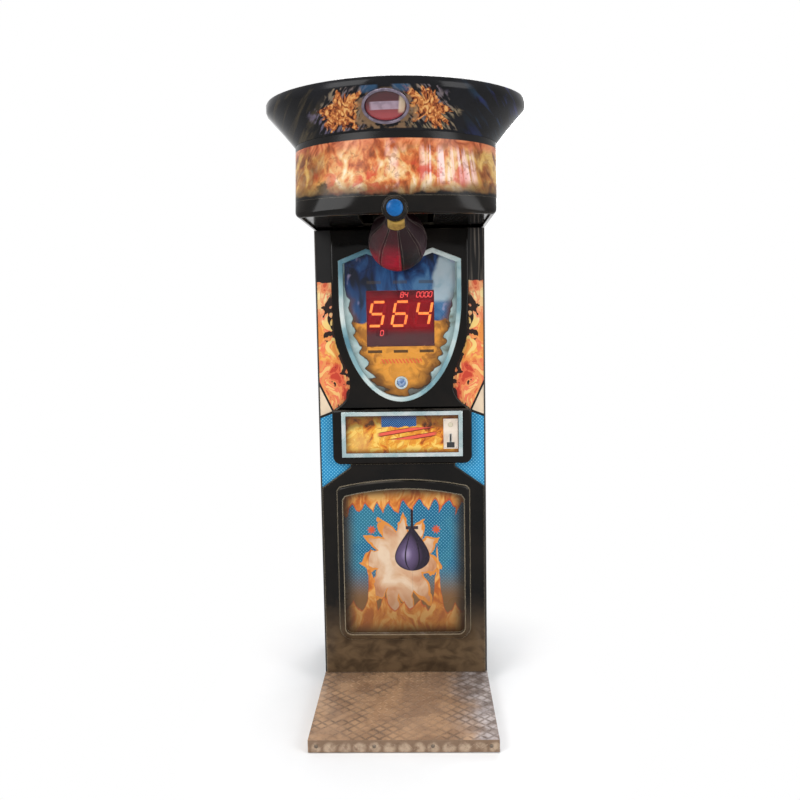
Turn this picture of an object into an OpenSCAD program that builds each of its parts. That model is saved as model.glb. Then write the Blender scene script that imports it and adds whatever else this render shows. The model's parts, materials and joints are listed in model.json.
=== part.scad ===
// Strength tester machine: cabinet column, flared head, and a bag that swings down from under the head.
// The floor is z = 0, the player stands on the -Y side, and the machine is centred on the origin.

/* [Column] */
// Width of the cabinet column and of the tread plate
col_w = 650; // [560:5:760]
// Depth of the cabinet column, front face to rear face
col_d = 480; // [430:5:600]
// Height of the head's underside, where the column ends
head_z = 1800; // [1740:5:1900]
// Thickness of the cabinet boards
board_t = 18; // [15:1:22]
// Width of the dark trim on the column's front corners
trim_w = 6; // [4:1:7]
// How far the corner trim stands out
trim_t = 2; // [1:0.5:4]

/* [Base] */
// How far the tread plate reaches in front of the column
tread_reach = 543; // [480:1:620]
// Height of the tread plate's top
base_h = 46; // [42:1:60]
// Thickness of the tread plate's sheet
tread_t = 4; // [3:0.5:6]
// Gap between the tread plate's lips and the floor
lip_gap = 3; // [2:0.5:8]
// Height of the levelling feet, floor to frame
foot_h = 14; // [12:1:18]
// Radius of a levelling foot's pad
foot_r = 14; // [11:0.5:14.5]
// Radius of a levelling foot's stud
stud_r = 5; // [4:0.5:6]
// Width of the base frame's tubes
tube_w = 30; // [25:1:40]
// Wall of the steel tubes
tube_wall = 2.5; // [2:0.5:4]
// Number of the base frame's cross tubes
cross_count = 5; // [4:1:7]
// Number of screws in the front lip
screw_count = 4; // [2:1:6]
// Radius of the lip screws' heads
screw_head_r = 6.5; // [6:0.5:10]
// Radius of the lip screws' shanks
screw_r = 4; // [3:0.5:5]
// Radius of the transport castors
castor_r = 30; // [25:1:36]
// Width of the transport castors
castor_w = 22; // [18:1:28]
// Distance of each castor from the middle
castor_x = 250; // [246:1:256]
// Gap between the castors and the floor
castor_lift = 2; // [1:0.5:4]
// Radius of the castor axles
castor_axle_r = 4; // [3:0.5:6]

/* [Display] */
// Drop from the head's underside to the shield's two peaks
shield_drop = 73; // [60:1:110]
// Distance of each peak from the middle
peak_x = 126; // [90:1:150]
// Drop from a peak to the shield's shoulder
peak_rise = 43; // [25:1:60]
// Drop from a peak to the dip between the peaks
peak_dip = 36; // [15:1:50]
// Half the width of the shield
shield_hw = 234; // [222:1:240]
// Height of the shield's straight sides
side_run = 154; // [120:1:180]
// Height of the shield's rounded lower part
bowl_h = 389; // [370:1:400]
// Width of the pale band round the shield
band_w = 17; // [12:1:20]
// How far the display surround stands out from the column
surround_t = 20; // [16:1:26]
// How far the pale band stands out from the surround
band_proud = 4; // [2:0.5:8]
// Half the width of the display surround at its top
surround_hw = 263; // [255:1:275]
// Half the width of the display surround's waist
waist_hw = 201; // [196:1:206]
// Thickness of the printed panels
panel_t = 4; // [3:0.5:5]
// Width of the red display filter
filter_w = 261; // [250:1:266]
// Height of the red display filter
filter_h = 214; // [208:1:225]
// Drop from the shield's peaks to the filter's top
filter_drop = 159; // [150:1:170]
// Pitch of the large digits
digit_pitch = 90; // [86:1:92]
// Height of the large digits
digit_h = 101.6; // [80:0.1:105]
// Depth of the digit modules
module_d = 18; // [12:1:22]
// Radius of the select button's ring
ring_r = 25; // [23:1:30]
// Radius of the select button
select_r = 17; // [14:1:19]
// Travel of the select button
select_travel = 3.5; // [2:0.5:4]
// Height of the select button above the shield's lowest point
select_rise = 72; // [60:1:85]

/* [Coin panel] */
// Gap between the shield's lowest point and the coin block
coin_gap = 29; // [24:1:45]
// Height of the coin block
coin_block_h = 214; // [205:1:240]
// Half the width of the coin block
coin_block_hw = 270; // [260:1:285]
// How far the coin block stands out from the column
coin_block_t = 34; // [28:1:44]
// Half the width of the coin bezel
bezel_hw = 234; // [220:1:245]
// Height of the coin bezel
bezel_h = 177; // [170:1:190]
// Drop from the coin block's top to the bezel
bezel_drop = 8; // [6:1:12]
// Width of the coin bezel's frame
bezel_frame = 16; // [12:1:18]
// How far the coin bezel stands out from the block
bezel_t = 8; // [6:1:12]
// Width of the coin plate
plate_w = 55; // [52:1:60]
// Height of the coin plate
plate_h = 117; // [110:1:125]
// Thickness of the coin plate and of the coin panel
plate_t = 3; // [2:0.5:4]
// Width of the coin slot
slot_w = 5; // [4.5:0.1:6]
// Height of the coin slot
slot_h = 30; // [26:1:34]
// Radius of the reject button
reject_r = 9; // [7:0.5:10]
// Travel of the reject button
reject_travel = 3; // [2:0.5:4]
// Width of the coin return opening
return_w = 30; // [26:1:34]
// Height of the coin return opening
return_h = 21; // [18:1:22]

/* [Picture panel] */
// Height of the neck under the coin block
neck_h = 14; // [10:1:30]
// Half the width of the neck
neck_hw = 205; // [180:1:215]
// Height of the slope from the neck out to full width
flare_h = 81; // [60:1:110]
// How far the picture surround stands out from the column
picture_t = 14; // [12:1:18]
// How far the ridge round the picture stands out from its surround
ridge_t = 12; // [8:1:18]
// Width of the ridge round the picture
ridge_w = 22; // [16:1:26]
// Half the width of the picture window
window_hw = 237; // [225:1:245]
// Height of the picture window's bottom above the tread plate
window_rise = 164; // [140:1:190]
// Drop from the neck to the ridge's arched top
arch_drop = 52; // [45:1:70]
// Rise of the arch in the middle
arch_rise = 27; // [18:1:40]

/* [Head] */
// Half the width of the drum at its top
drum_hw = 351; // [326:1:360]
// Half the width of the drum at its lower edge
foot_hw = 335; // [328:1:345]
// Reach of the drum in front of the column
drum_reach = 495; // [470:1:530]
// Depth of the head's rounded front at the drum's top
nose_d = 260; // [240:1:280]
// Depth of the head's rounded front at the drum's lower edge
foot_nose_d = 90; // [80:1:140]
// Squareness of the rounded front, where 2 is an ellipse
nose_power = 1.85; // [1.7:0.05:2.2]
// Height of the drum
drum_h = 260; // [240:1:290]
// Radius of the drum's lower edge
drum_round = 20; // [15:1:24]
// Wall of the head's shells
shell_t = 5; // [4:0.5:6]
// Thickness of the lit drum print
print_t = 3; // [2:0.5:4]
// Height of the dark band under the drum print
dark_band = 58; // [55:1:75]
// Half the width of the crown's rim
crown_hw = 449; // [420:1:470]
// Reach of the crown in front of the column
crown_reach = 590; // [570:1:620]
// Height of the crown
crown_h = 145; // [130:1:165]
// Half the width of the crown's rear
crown_rear_hw = 362; // [340:1:400]
// Width of the oval badge
badge_w = 150; // [130:1:165]
// Height of the oval badge along the slope
badge_h = 117; // [90:1:120]
// Distance of the oval badge from the middle, to the right
badge_x = -22; // [-30:1:30]
// Radius of the start button's pod
pod_r = 41; // [36:1:44]
// Radius of the start button
start_r = 27; // [22:1:29]
// Height of the start button above the head's underside
start_rise = 16; // [10:1:20]
// Travel of the start button
start_travel = 4; // [3:0.5:5]

/* [Swing] */
// Height of the pivot above the head's underside
pivot_rise = 36; // [34:1:44]
// Radius of the pivot shaft
shaft_r = 10; // [8:0.5:11]
// Angle of the stowed bag below the horizontal
droop = 22.8; // [21:0.1:27]
// Distance of the bag's widest part from the pivot
bag_centre = 255; // [245:1:262]
// Radius of the bag at its widest
bag_r = 108; // [100:1:112]
// Radius of the bag's neck
neck_r = 36; // [32:1:37]
// Distance of the bag's neck from the pivot
neck_s = 45; // [44:1:52]
// Half the width of the bag opening in the head floor
bay_hw = 128; // [124:1:132]
// Distance of the cantilever arms' middles from the middle
arm_x = 130; // [126:1:136]
// Radius of the arm's rod inside the bag
rod_r = 14; // [12:0.5:16]
// Number of slots in the encoder disc
encoder_slots = 24; // [12:4:36]

/* [Cabinet back] */
// Half the width of the back door
door_hw = 240; // [220:1:250]
// Height of the back door's lower edge above the cabinet floor
door_rise = 240; // [225:1:300]
// Height of the back door
door_h = 850; // [780:5:900]
// Gap round the door and the drawer front
door_gap = 1.5; // [1:0.5:3]
// Height of the cash drawer
drawer_h = 180; // [140:1:190]
// Width of the cash drawer
drawer_w = 170; // [140:1:190]
// Width of the mast's tubes
mast_w = 40; // [35:1:50]
// Distance of the mast's posts from the middle
mast_x = 262; // [256:1:272]

/* [Hidden] */
$fn = 48;
fit = 0.08;     // clearance round what slides or turns
ease = 0.3;     // clearance between separate pieces
cut = 1;        // how far a cutting shape runs past the face it cuts

// Depths are measured back from the column's front face, and yd() turns one into a y.
castor_reach = tread_t + 1 + 2 * castor_r;
front_y = (crown_reach - col_d - castor_reach) / 2;
function yd(d) = front_y + d;

half_w = col_w / 2;
frame_top = base_h - tread_t;
frame_hw = half_w - tread_t;
frame_front = -tread_reach + tread_t;
frame_d = col_d - frame_front;
tube_h = frame_top - foot_h;
cross_pitch = (frame_d - tube_w) / (cross_count - 1);
screw_z = lip_gap + (frame_top - lip_gap) / 2 + 2;
foot_rows = [0, (cross_count - 1) / 2, cross_count - 1];

floor_z = frame_top + board_t;
peak_z = head_z - shield_drop;
shoulder_z = peak_z - peak_rise;
bowl_z = shoulder_z - side_run;
shield_z = bowl_z - bowl_h;
surround_z = shield_z - coin_gap;
filter_z = peak_z - filter_drop - filter_h;
digit_z = filter_z + filter_h * 0.585;
select_z = shield_z + select_rise;
module_w = digit_pitch - 0.5;
module_h = digit_h + 20;
small_w = 46;
small_h = 24;

block_z = surround_z - coin_block_h;
bezel_z = surround_z - bezel_drop - bezel_h;
coin_z = bezel_z + bezel_h / 2;
coin_x = bezel_hw - bezel_frame - plate_t - plate_w / 2;
panel_face = -coin_block_t - plate_t;
plate_face = panel_face - plate_t;
mech_w = plate_w - 8;
mech_h = plate_h - 4;
mech_back = 60;
return_z = coin_z - plate_h / 2 + 4.5;
slot_z = return_z + return_h + 1.5 + slot_h / 2;
reject_z = slot_z + slot_h / 2 + 27.5 + reject_r;
chute_d = 20;
chute_wall = 1.5;
chute_back = mech_back - 1;

neck_z = block_z - neck_h;
flare_z = neck_z - flare_h;
window_z = base_h + window_rise;
arch_z = neck_z - arch_drop;
window_top = arch_z - ridge_w * 1.6;
skirt_hw = half_w - trim_w - 0.5;

nose_y = nose_d - drum_reach;
crown_z = head_z + drum_h;
crown_nose = crown_reach + nose_y;
lid_z = crown_z + crown_h - 25;
wall_in = shell_t + print_t;
ledge_t = shell_t + 3;
floor_t = 6;

mast_wall = 3;
mast_d = 300;
pivot_z = head_z + pivot_rise;
block_r = shaft_r + 6;
arm_z = pivot_z + block_r;
arm_w = 30;
block_w = arm_w - 4;
block_l = 50;
arm_out = arm_x + arm_w / 2;
pivot_d = nose(drum_hw - wall_in, nose_d - wall_in, arm_out) + 4 + block_l / 2;
arm_front = pivot_d - block_l / 2;
bar_z = arm_z + mast_w;
light_h = crown_z - bar_z - arm_w - 10;
keeper_d = pivot_d + 142;
keeper_z = pivot_z + 22.5;
keeper_t = 7.5;
bay_back = pivot_d + bag_centre * 1.333;
encoder_r = pivot_rise - ledge_t - floor_t - 3;

drawer_d = 30;
flange_side = 10;
flange_t = 6;
drawer_x = mast_x - mast_w / 2 - flange_side - 5 - drawer_w;
drawer_front_t = 10;
door_z = floor_z + door_rise;
hinge_r = 4;
hinge_x = -door_hw + door_gap / 2;
hinge_h = 80;
lock_x = door_hw - 35;
lock_z = door_z + door_h / 2;

function lerp(a, b, t) = a + (b - a) * t;
function arc(c, r, from, to, n) =
  [for (i = [0:n]) let (a = lerp(from, to, i / n)) [c[0] + r * cos(a), c[1] + r * sin(a)]];

// A closed outline from its right half, which runs from the top down.
function mirrored(half) =
  concat(half, [for (i = [len(half) - 1:-1:0]) if (half[i][0] > 0.01) [-half[i][0], half[i][1]]]);

// An outline moved inwards by d. The outline runs clockwise.
function unit(v) = v / norm(v);
function inset(p, d) = let (n = len(p)) [
  for (i = [0:n - 1])
    let (u = unit(p[i] - p[(i + n - 1) % n]), v = unit(p[(i + 1) % n] - p[i]))
    let (a = [u[1], -u[0]], b = [v[1], -v[0]])
    p[i] + d * (a + b) / (1 + a * b)
];

// A smooth curve through the given points.
function curve_at(a, b, c, d, t) =
  0.5 * (2 * b + (c - a) * t + (2 * a - 5 * b + 4 * c - d) * t * t + (3 * b - a - 3 * c + d) * t * t * t);
function curve(p, n) = let (m = len(p) - 1) concat(
  [for (i = [0:m - 1], j = [0:n - 1])
    curve_at(p[max(i - 1, 0)], p[i], p[i + 1], p[min(i + 2, m)], j / n)],
  [p[m]]
);

// The head's plan: a rounded front, then sides that run back to the rear.
function power(v) = sign(v) * pow(abs(v), 2 / nose_power);
function nose(a, b, x) = nose_y - b * pow(1 - pow(x / a, nose_power), 1 / nose_power);
function plan(a, b, rear_hw, rear_in, y0 = nose_y, steps = 36, sides = 6) = concat(
  [for (i = [0:sides - 1]) let (t = i / sides)
    [lerp(rear_hw, a, sin(90 * t)), yd(lerp(col_d - rear_in, y0, t))]],
  [for (i = [0:steps]) let (q = 180 * i / steps) [a * power(cos(q)), yd(y0 - b * power(sin(q)))]],
  [for (i = [sides - 1:-1:0]) let (t = i / sides)
    [-lerp(rear_hw, a, sin(90 * t)), yd(lerp(col_d - rear_in, y0, t))]]
);

// The drum's plan at a height above its lower edge, moved inwards by d: flat-fronted below, round on top.
function drum_plan(d, h) = let (u = h / drum_h, b = lerp(foot_nose_d, nose_d, u), a = lerp(foot_hw, drum_hw, u) - d)
  plan(a, b - d, a, d, b - drum_reach);
function drum_ring(d, h) = [for (v = drum_plan(d, h)) [v[0], v[1], head_z + h]];
function crown_plan(g, d) = plan(
  lerp(drum_hw + 1, crown_hw, g) - d, lerp(nose_d + 1, crown_nose, g) - d,
  lerp(drum_hw + 1, crown_rear_hw, g) - d, d
);

// A solid through rings of points that mirror each other across x = 0, with flat ends.
// Each end is cut into strips from a point on the right to its mirror image on the left.
module loft(rings) {
  n = len(rings[0]);
  m = len(rings);
  one = rings[0][0][0] < 0.01 ? 0 : 1;
  function across(i) = (n - i - one) % n;
  strips = [for (i = [0:floor((n - one) / 2) - 1]) each concat(
    i + 1 == across(i + 1) ? [] : [[i, i + 1, across(i + 1)]],
    i == across(i) ? [] : [[i, across(i + 1), across(i)]]
  )];
  polyhedron(
    points = [for (r = rings, p = r) p],
    faces = concat(
      [for (t = strips) [t[2], t[1], t[0]]],
      [for (k = [0:m - 2], j = [0:n - 1]) [k * n + j, k * n + (j + 1) % n, (k + 1) * n + (j + 1) % n]],
      [for (k = [0:m - 2], j = [0:n - 1]) [k * n + j, (k + 1) * n + (j + 1) % n, (k + 1) * n + j]],
      [for (t = strips) [for (i = t) (m - 1) * n + i]]
    )
  );
}

// A wall whose section runs round a closed list of rings. Every quad is split the same way, seen from
// outside, so the faces of nested walls stay parallel.
module wall(rings) {
  n = len(rings[0]);
  m = len(rings);
  polyhedron(
    points = [for (r = rings, p = r) p],
    faces = [for (k = [0:m - 1], j = [0:n - 1]) let (
      o = (k + 1) % m, a = k * n + j, b = k * n + (j + 1) % n, c = o * n + (j + 1) % n, e = o * n + j,
      down = rings[k][0][2] > rings[o][0][2]
    ) each (down ? [[a, b, c], [a, c, e]] : [[a, b, e], [b, c, e]])]
  );
}

// An outline in the front view, drawn as a plate whose front is at depth d.
module plate(outline, d, t) {
  translate([0, yd(d) + t, 0]) rotate([90, 0, 0]) linear_extrude(t) polygon(outline);
}

// A moulding of the outline, from depth 0 to depth -t, with a rounded front edge.
module moulding(outline, t, round_r = 7) {
  function ring(inset_by, d) = [for (p = inset(outline, inset_by)) [p[0], yd(d), p[1]]];
  loft([
    ring(0, 0), ring(0, -t + round_r), ring(round_r * 0.13, -t + round_r * 0.5),
    ring(round_r * 0.5, -t + round_r * 0.13), ring(round_r, -t)
  ]);
}

// A box from its low corner to its high corner.
module box(low, high) {
  translate(low) cube(high - low);
}

// A box given by its middle x, half its width, two depths and two heights.
module slab(x, hw, d0, d1, z0, z1) {
  box([x - hw, yd(d0), z0], [x + hw, yd(d1), z1]);
}

// A cylinder along Y, from depth d0 to depth d1.
module rod_y(x, z, r, d0, d1) {
  translate([x, yd(d1), z]) rotate([90, 0, 0]) cylinder(r = r, h = d1 - d0);
}

// A cylinder along X about the given depth and height.
module rod_x(x0, x1, d, z, r) {
  translate([x0, yd(d), z]) rotate([0, 90, 0]) cylinder(r = r, h = x1 - x0);
}

// The shapes that several pieces share.
shield = mirrored(concat(
  [[0, peak_z - peak_dip], [peak_x * 0.45, peak_z - peak_dip * 0.72], [peak_x, peak_z]],
  [[shield_hw, shoulder_z], [shield_hw, bowl_z + side_run / 2]],
  [for (i = [0:22]) let (q = 90 * i / 22) [shield_hw * cos(q), bowl_z - bowl_h * sin(q)]]
));
waist = curve([
  [surround_hw, bowl_z + 30], [surround_hw - 7, bowl_z - 130], [surround_hw - 30, bowl_z - 212],
  [waist_hw + 4, bowl_z - 280], [waist_hw + 1, bowl_z - 340], [waist_hw + 22, bowl_z - 386],
  [coin_block_hw - 6, surround_z]
], 5);
surround_outline = mirrored(concat([[surround_hw, head_z]], waist));
coin_corner = 30;
coin_outline = mirrored(concat(
  [[coin_block_hw - 6, surround_z], [coin_block_hw, surround_z - 12]],
  arc([coin_block_hw - coin_corner, block_z + coin_corner], coin_corner, 0, -90, 6)
));
window_corner = 26;
function window_half(hw, z0, z1, r) = concat(
  [for (i = [0:7]) [hw * 0.96 * i / 7, z1 - arch_rise * pow(i / 7, 2)]],
  [[hw, z1 - arch_rise - 14]], arc([hw - r, z0 + r], r, 0, -90, 6)
);
window = mirrored(window_half(window_hw, window_z, window_top, window_corner));
ridge = mirrored(window_half(window_hw + ridge_w, window_z - ridge_w, arch_z, window_corner + ridge_w));
skirt = mirrored([
  [neck_hw, block_z], [neck_hw, neck_z], [skirt_hw, flare_z], [skirt_hw, base_h + ease]
]);

// Base

module base_frame() color("dimgray") difference() {
  union() {
    for (s = [-1, 1]) slab(s * (frame_hw - tube_w / 2), tube_w / 2, frame_front, col_d, foot_h, frame_top);
    for (i = [0:cross_count - 1])
      slab(0, frame_hw - tube_w / 2, cross_d(i), cross_d(i) + tube_w, foot_h, frame_top);
  }
  for (s = [-1, 1])
    slab(s * (frame_hw - tube_w / 2), tube_w / 2 - tube_wall, frame_front - cut, col_d + cut,
      foot_h + tube_wall, frame_top - tube_wall);
  for (i = [0:cross_count - 1])
    slab(0, frame_hw - tube_w / 2, cross_d(i) + tube_wall, cross_d(i) + tube_w - tube_wall,
      foot_h + tube_wall, frame_top - tube_wall);
  for (p = feet_at()) translate([p[0], p[1], foot_h - cut]) cylinder(r = stud_r + ease, h = tube_wall + 2 * cut);
  for (x = screws_at()) rod_y(x, screw_z, screw_r + ease, frame_front - cut, frame_front + tube_wall + cut);
}

function cross_d(i) = frame_front + i * cross_pitch;
function feet_at() =
  [for (s = [-1, 1], i = foot_rows) [s * (frame_hw - tube_w / 2), yd(cross_d(i) + tube_w / 2)]];
function screws_at() = let (span = frame_hw - tube_w / 2)
  [for (i = [0:screw_count - 1]) lerp(-span, span, i / (screw_count - 1)) * 0.97];

module tread_plate() color("rosybrown") difference() {
  slab(0, half_w, -tread_reach, 0, lip_gap, base_h);
  slab(0, frame_hw, frame_front, cut, lip_gap - cut, frame_top);
  for (x = screws_at()) rod_y(x, screw_z, screw_r + ease, -tread_reach - cut, frame_front + cut);
}

module lip_screws() color("silver") for (x = screws_at())
  translate([x, yd(-tread_reach), screw_z]) rotate([90, 0, 0]) rotate_extrude() polygon([
    [0, -16], [screw_r, -16], [screw_r, 0], [screw_head_r, 0], [screw_head_r, 1], [screw_head_r * 0.8, 3],
    [screw_head_r * 0.45, 4], [screw_r * 0.5, 4], [screw_r * 0.5, 2], [0, 2]
  ]);

module levelling_feet() color("black") for (p = feet_at()) translate([p[0], p[1], 0]) {
  rotate_extrude() polygon([
    [0, 0], [foot_r - 1, 0], [foot_r, 1], [foot_r, foot_h * 0.4], [foot_r * 0.55, foot_h * 0.55], [0, foot_h * 0.55]
  ]);
  cylinder(r = stud_r * 1.9, h = foot_h, $fn = 6);
  cylinder(r = stud_r, h = foot_h + tube_h - tube_wall - 2);
}

castor_d = col_d + tread_t + 1 + castor_r;
castor_z = castor_lift + castor_r;
ear_t = 3;
ear_x = castor_w / 2 + 1;
module castor_brackets() color("darkgray") for (s = [-1, 1]) {
  slab(s * castor_x, ear_x + ear_t + 14, col_d, col_d + tread_t, foot_h, floor_z - 4);
  for (e = [-1, 1])
    slab(s * castor_x + e * (ear_x + ear_t / 2), ear_t / 2, col_d, castor_d + castor_axle_r + 6,
      castor_z - castor_axle_r - 8, castor_z + castor_axle_r + 10);
  rod_x(s * castor_x - ear_x - ear_t - 3, s * castor_x + ear_x + ear_t + 3, castor_d, castor_z, castor_axle_r);
}

module castor_wheel(x) color("darkslategray")
  translate([x, yd(castor_d), castor_z]) rotate([0, 90, 0]) rotate_extrude($fn = 72) polygon([
    [castor_axle_r + fit / 2, -castor_w / 2], [castor_r * 0.4, -castor_w / 2], [castor_r * 0.45, -castor_w * 0.2],
    [castor_r * 0.75, -castor_w * 0.2], [castor_r * 0.8, -castor_w / 2 + 1], [castor_r - 2, -castor_w / 2 + 1],
    [castor_r, -castor_w * 0.3], [castor_r, castor_w * 0.3], [castor_r - 2, castor_w / 2 - 1],
    [castor_r * 0.8, castor_w / 2 - 1], [castor_r * 0.75, castor_w * 0.2], [castor_r * 0.45, castor_w * 0.2],
    [castor_r * 0.4, castor_w / 2], [castor_axle_r + fit / 2, castor_w / 2]
  ]);
module castor_wheel_left() castor_wheel(-castor_x);
module castor_wheel_right() castor_wheel(castor_x);

// Cabinet boards

module side_panel(s) color("black")
  slab(s * (half_w - board_t / 2), board_t / 2, board_t, col_d, frame_top, head_z);
module side_panel_left() side_panel(-1);
module side_panel_right() side_panel(1);

module mech_hole(d0, d1) {
  slab(coin_x, mech_w / 2 + ease, d0, d1, coin_z - mech_h / 2 - ease, coin_z + mech_h / 2 + ease);
}

module front_board() color("orange") difference() {
  slab(0, half_w, 0, board_t, frame_top, head_z);
  slab(0, digit_pitch * 1.5 + ease, -cut, board_t + cut, filter_z + 3, filter_z + filter_h - 1);
  rod_y(0, select_z, select_r + 3, -cut, board_t + cut);
  mech_hole(-cut, board_t + cut);
  plate(inset(window, 14), -cut, board_t + 2 * cut);
}

module edge_trims() color("black") for (s = [-1, 1])
  slab(s * (half_w - trim_w / 2), trim_w / 2, -trim_t, 0, base_h, head_z);

module cabinet_floor() color("burlywood")
  slab(0, half_w - board_t, board_t, col_d - board_t, frame_top, floor_z);

// Front mouldings

module display_surround() color("black") difference() {
  moulding(surround_outline, surround_t);
  plate(inset(shield, -ease), -surround_t - cut, surround_t + 2 * cut);
}

module coin_surround() color("black") difference() {
  moulding(coin_outline, coin_block_t, 9);
  mech_hole(-coin_block_t - cut, cut);
}

module picture_surround() color("black") difference() {
  union() {
    moulding(skirt, picture_t, 4);
    moulding(ridge, picture_t + ridge_t, 9);
  }
  plate(window, -picture_t - ridge_t - cut, picture_t + ridge_t + 2 * cut);
  plate(inset(window, -8 - ease), -panel_t, panel_t + cut);
}

module picture_panel() color("orange") plate(inset(window, -8), -panel_t, panel_t);

// Display

module shield_bezel() color("lightcyan") difference() {
  plate(shield, -surround_t - band_proud, surround_t + band_proud);
  plate(inset(shield, band_w), -surround_t - band_proud - cut, surround_t + band_proud + 2 * cut);
  plate(inset(shield, band_w - 7), -panel_t, panel_t + cut);
}

module shield_panel() color("steelblue") difference() {
  plate(inset(shield, band_w - 7 + ease), -panel_t, panel_t);
  slab(0, filter_w / 2 + ease, -panel_t - cut, cut, filter_z - ease, filter_z + filter_h + ease);
  rod_y(0, select_z, select_r + 3, -panel_t - cut, cut);
}

module display_filter() color("darkred")
  slab(0, filter_w / 2, -panel_t, 0, filter_z, filter_z + filter_h);

// The seven strokes of one digit, as shallow slanted grooves.
module digit_strokes(x, z, h, d) {
  w = h * 0.56;
  t = h * 0.11;
  lean = 0.1;
  function at(u, v) = [x + u * w / 2 + v * h * lean, z + v * h / 2];
  for (v = [-1, 0, 1]) plate([
    at(-0.8, v) + [0, t / 2], at(0.8, v) + [0, t / 2], at(0.8, v) - [0, t / 2], at(-0.8, v) - [0, t / 2]
  ], d, 2);
  for (u = [-1, 1], v = [-1, 0]) plate([
    at(u, v + 0.9) - [t / 2, 0], at(u, v + 0.9) + [t / 2, 0], at(u, v + 0.1) + [t / 2, 0], at(u, v + 0.1) - [t / 2, 0]
  ], d, 2);
}

module digit_modules() color("maroon") {
  for (i = [-1:1]) difference() {
    slab(i * digit_pitch, module_w / 2, 0, module_d, digit_z - module_h / 2, digit_z + module_h / 2);
    digit_strokes(i * digit_pitch, digit_z, digit_h * 0.9, -cut);
  }
  for (i = [0, 1])
    slab(12 + i * digit_pitch * 0.92, small_w / 2, 0, module_d, digit_z + module_h / 2 + ease, filter_z + filter_h - 2);
  slab(-digit_pitch + 18, small_w / 2, 0, module_d, digit_z - module_h / 2 - small_h - ease, digit_z - module_h / 2 - ease);
}

module display_board() color("darkgreen")
  slab(0, digit_pitch * 1.5 + 20, board_t, board_t + 1.6, filter_z - 15, filter_z + filter_h + 15);

module select_ring() color("silver") difference() {
  union() {
    rod_y(0, select_z, ring_r, -panel_t - 5, -panel_t);
    rod_y(0, select_z, select_r + 2.7, -panel_t, board_t + 8);
    rod_y(0, select_z, ring_r * 1.1, board_t, board_t + 6, $fn = 6);
  }
  rod_y(0, select_z, select_r + fit, -panel_t - 5 - cut, board_t + 8 + cut);
}

module select_button() color("deepskyblue") translate([0, yd(-panel_t - 9), select_z]) rotate([-90, 0, 0])
  rotate_extrude() polygon([
    [0, 0], [select_r * 0.6, 0.8], [select_r * 0.9, 2.2], [select_r, 4], [select_r, board_t + panel_t + 5], [0, board_t + panel_t + 5]
  ]);

// Coin panel

module coin_bezel() color("silver") difference() {
  slab(0, bezel_hw, -coin_block_t - bezel_t, -coin_block_t, bezel_z, bezel_z + bezel_h);
  slab(0, bezel_hw - bezel_frame, -coin_block_t - bezel_t - cut, cut - coin_block_t,
    bezel_z + bezel_frame, bezel_z + bezel_h - bezel_frame);
  slab(0, bezel_hw - bezel_frame + 6, panel_face - ease / 3, cut - coin_block_t,
    bezel_z + bezel_frame - 6, bezel_z + bezel_h - bezel_frame + 6);
}

module coin_panel() color("orange") difference() {
  slab(0, bezel_hw - bezel_frame + 6 - ease, panel_face, -coin_block_t,
    bezel_z + bezel_frame - 6 + ease, bezel_z + bezel_h - bezel_frame + 6 - ease);
  mech_hole(panel_face - cut, cut - coin_block_t);
}

module coin_slot(d0, d1) {
  slab(coin_x, slot_w / 2, d0, d1, slot_z - slot_h / 2, slot_z + slot_h / 2);
}

module coin_plate() color("white") difference() {
  slab(coin_x, plate_w / 2, plate_face, panel_face, coin_z - plate_h / 2, coin_z + plate_h / 2);
  coin_slot(plate_face - cut, panel_face + cut);
  rod_y(coin_x, reject_z, reject_r + fit, plate_face - cut, panel_face + cut);
  slab(coin_x, return_w / 2, plate_face - cut, panel_face + cut, return_z, return_z + return_h);
  rod_x(coin_x - return_w / 2 - 3, coin_x + return_w / 2 + 3, flap_d, flap_z, flap_pin_r + fit / 2);
}

module coin_mech() color("gray") difference() {
  slab(coin_x, mech_w / 2, panel_face, mech_back, coin_z - mech_h / 2, coin_z + mech_h / 2);
  coin_slot(panel_face - cut, chute_back - chute_wall);
  rod_y(coin_x, reject_z, reject_r + 0.6, panel_face - cut, panel_face + 12);
  slab(coin_x, return_w / 2 + 0.5, panel_face - cut, panel_face + 26, return_z, return_z + return_h + ease);
  slab(coin_x, mech_w / 2 - 6, chute_back - chute_d + chute_wall, chute_back - chute_wall,
    coin_z - mech_h / 2 - cut, slot_z);
}

chute_z = floor_z + ease + drawer_h + 8;
module coin_chute() color("gray") difference() {
  slab(coin_x, mech_w / 2 + 2, chute_back - chute_d, chute_back, chute_z, coin_z - mech_h / 2);
  slab(coin_x, mech_w / 2 + 2 - chute_wall, chute_back - chute_d + chute_wall, chute_back - chute_wall,
    chute_z - cut, coin_z - mech_h / 2 + cut);
}

module reject_button() color("crimson") translate([coin_x, yd(plate_face - 4), reject_z]) rotate([-90, 0, 0])
  rotate_extrude() polygon([[0, 0], [reject_r - 2, 0], [reject_r, 1.5], [reject_r, plate_t + 10], [0, plate_t + 10]]);

flap_z = return_z + return_h - 2;
flap_d = plate_face + plate_t / 2;
flap_pin_r = 0.8;
module return_flap() color("gainsboro") {
  slab(coin_x, return_w / 2 - 0.5, flap_d - 0.75, flap_d + 0.75, return_z + 0.8, flap_z);
  rod_x(coin_x - return_w / 2 - 2.5, coin_x + return_w / 2 + 2.5, flap_d, flap_z, flap_pin_r);
}

// Back of the cabinet

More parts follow.
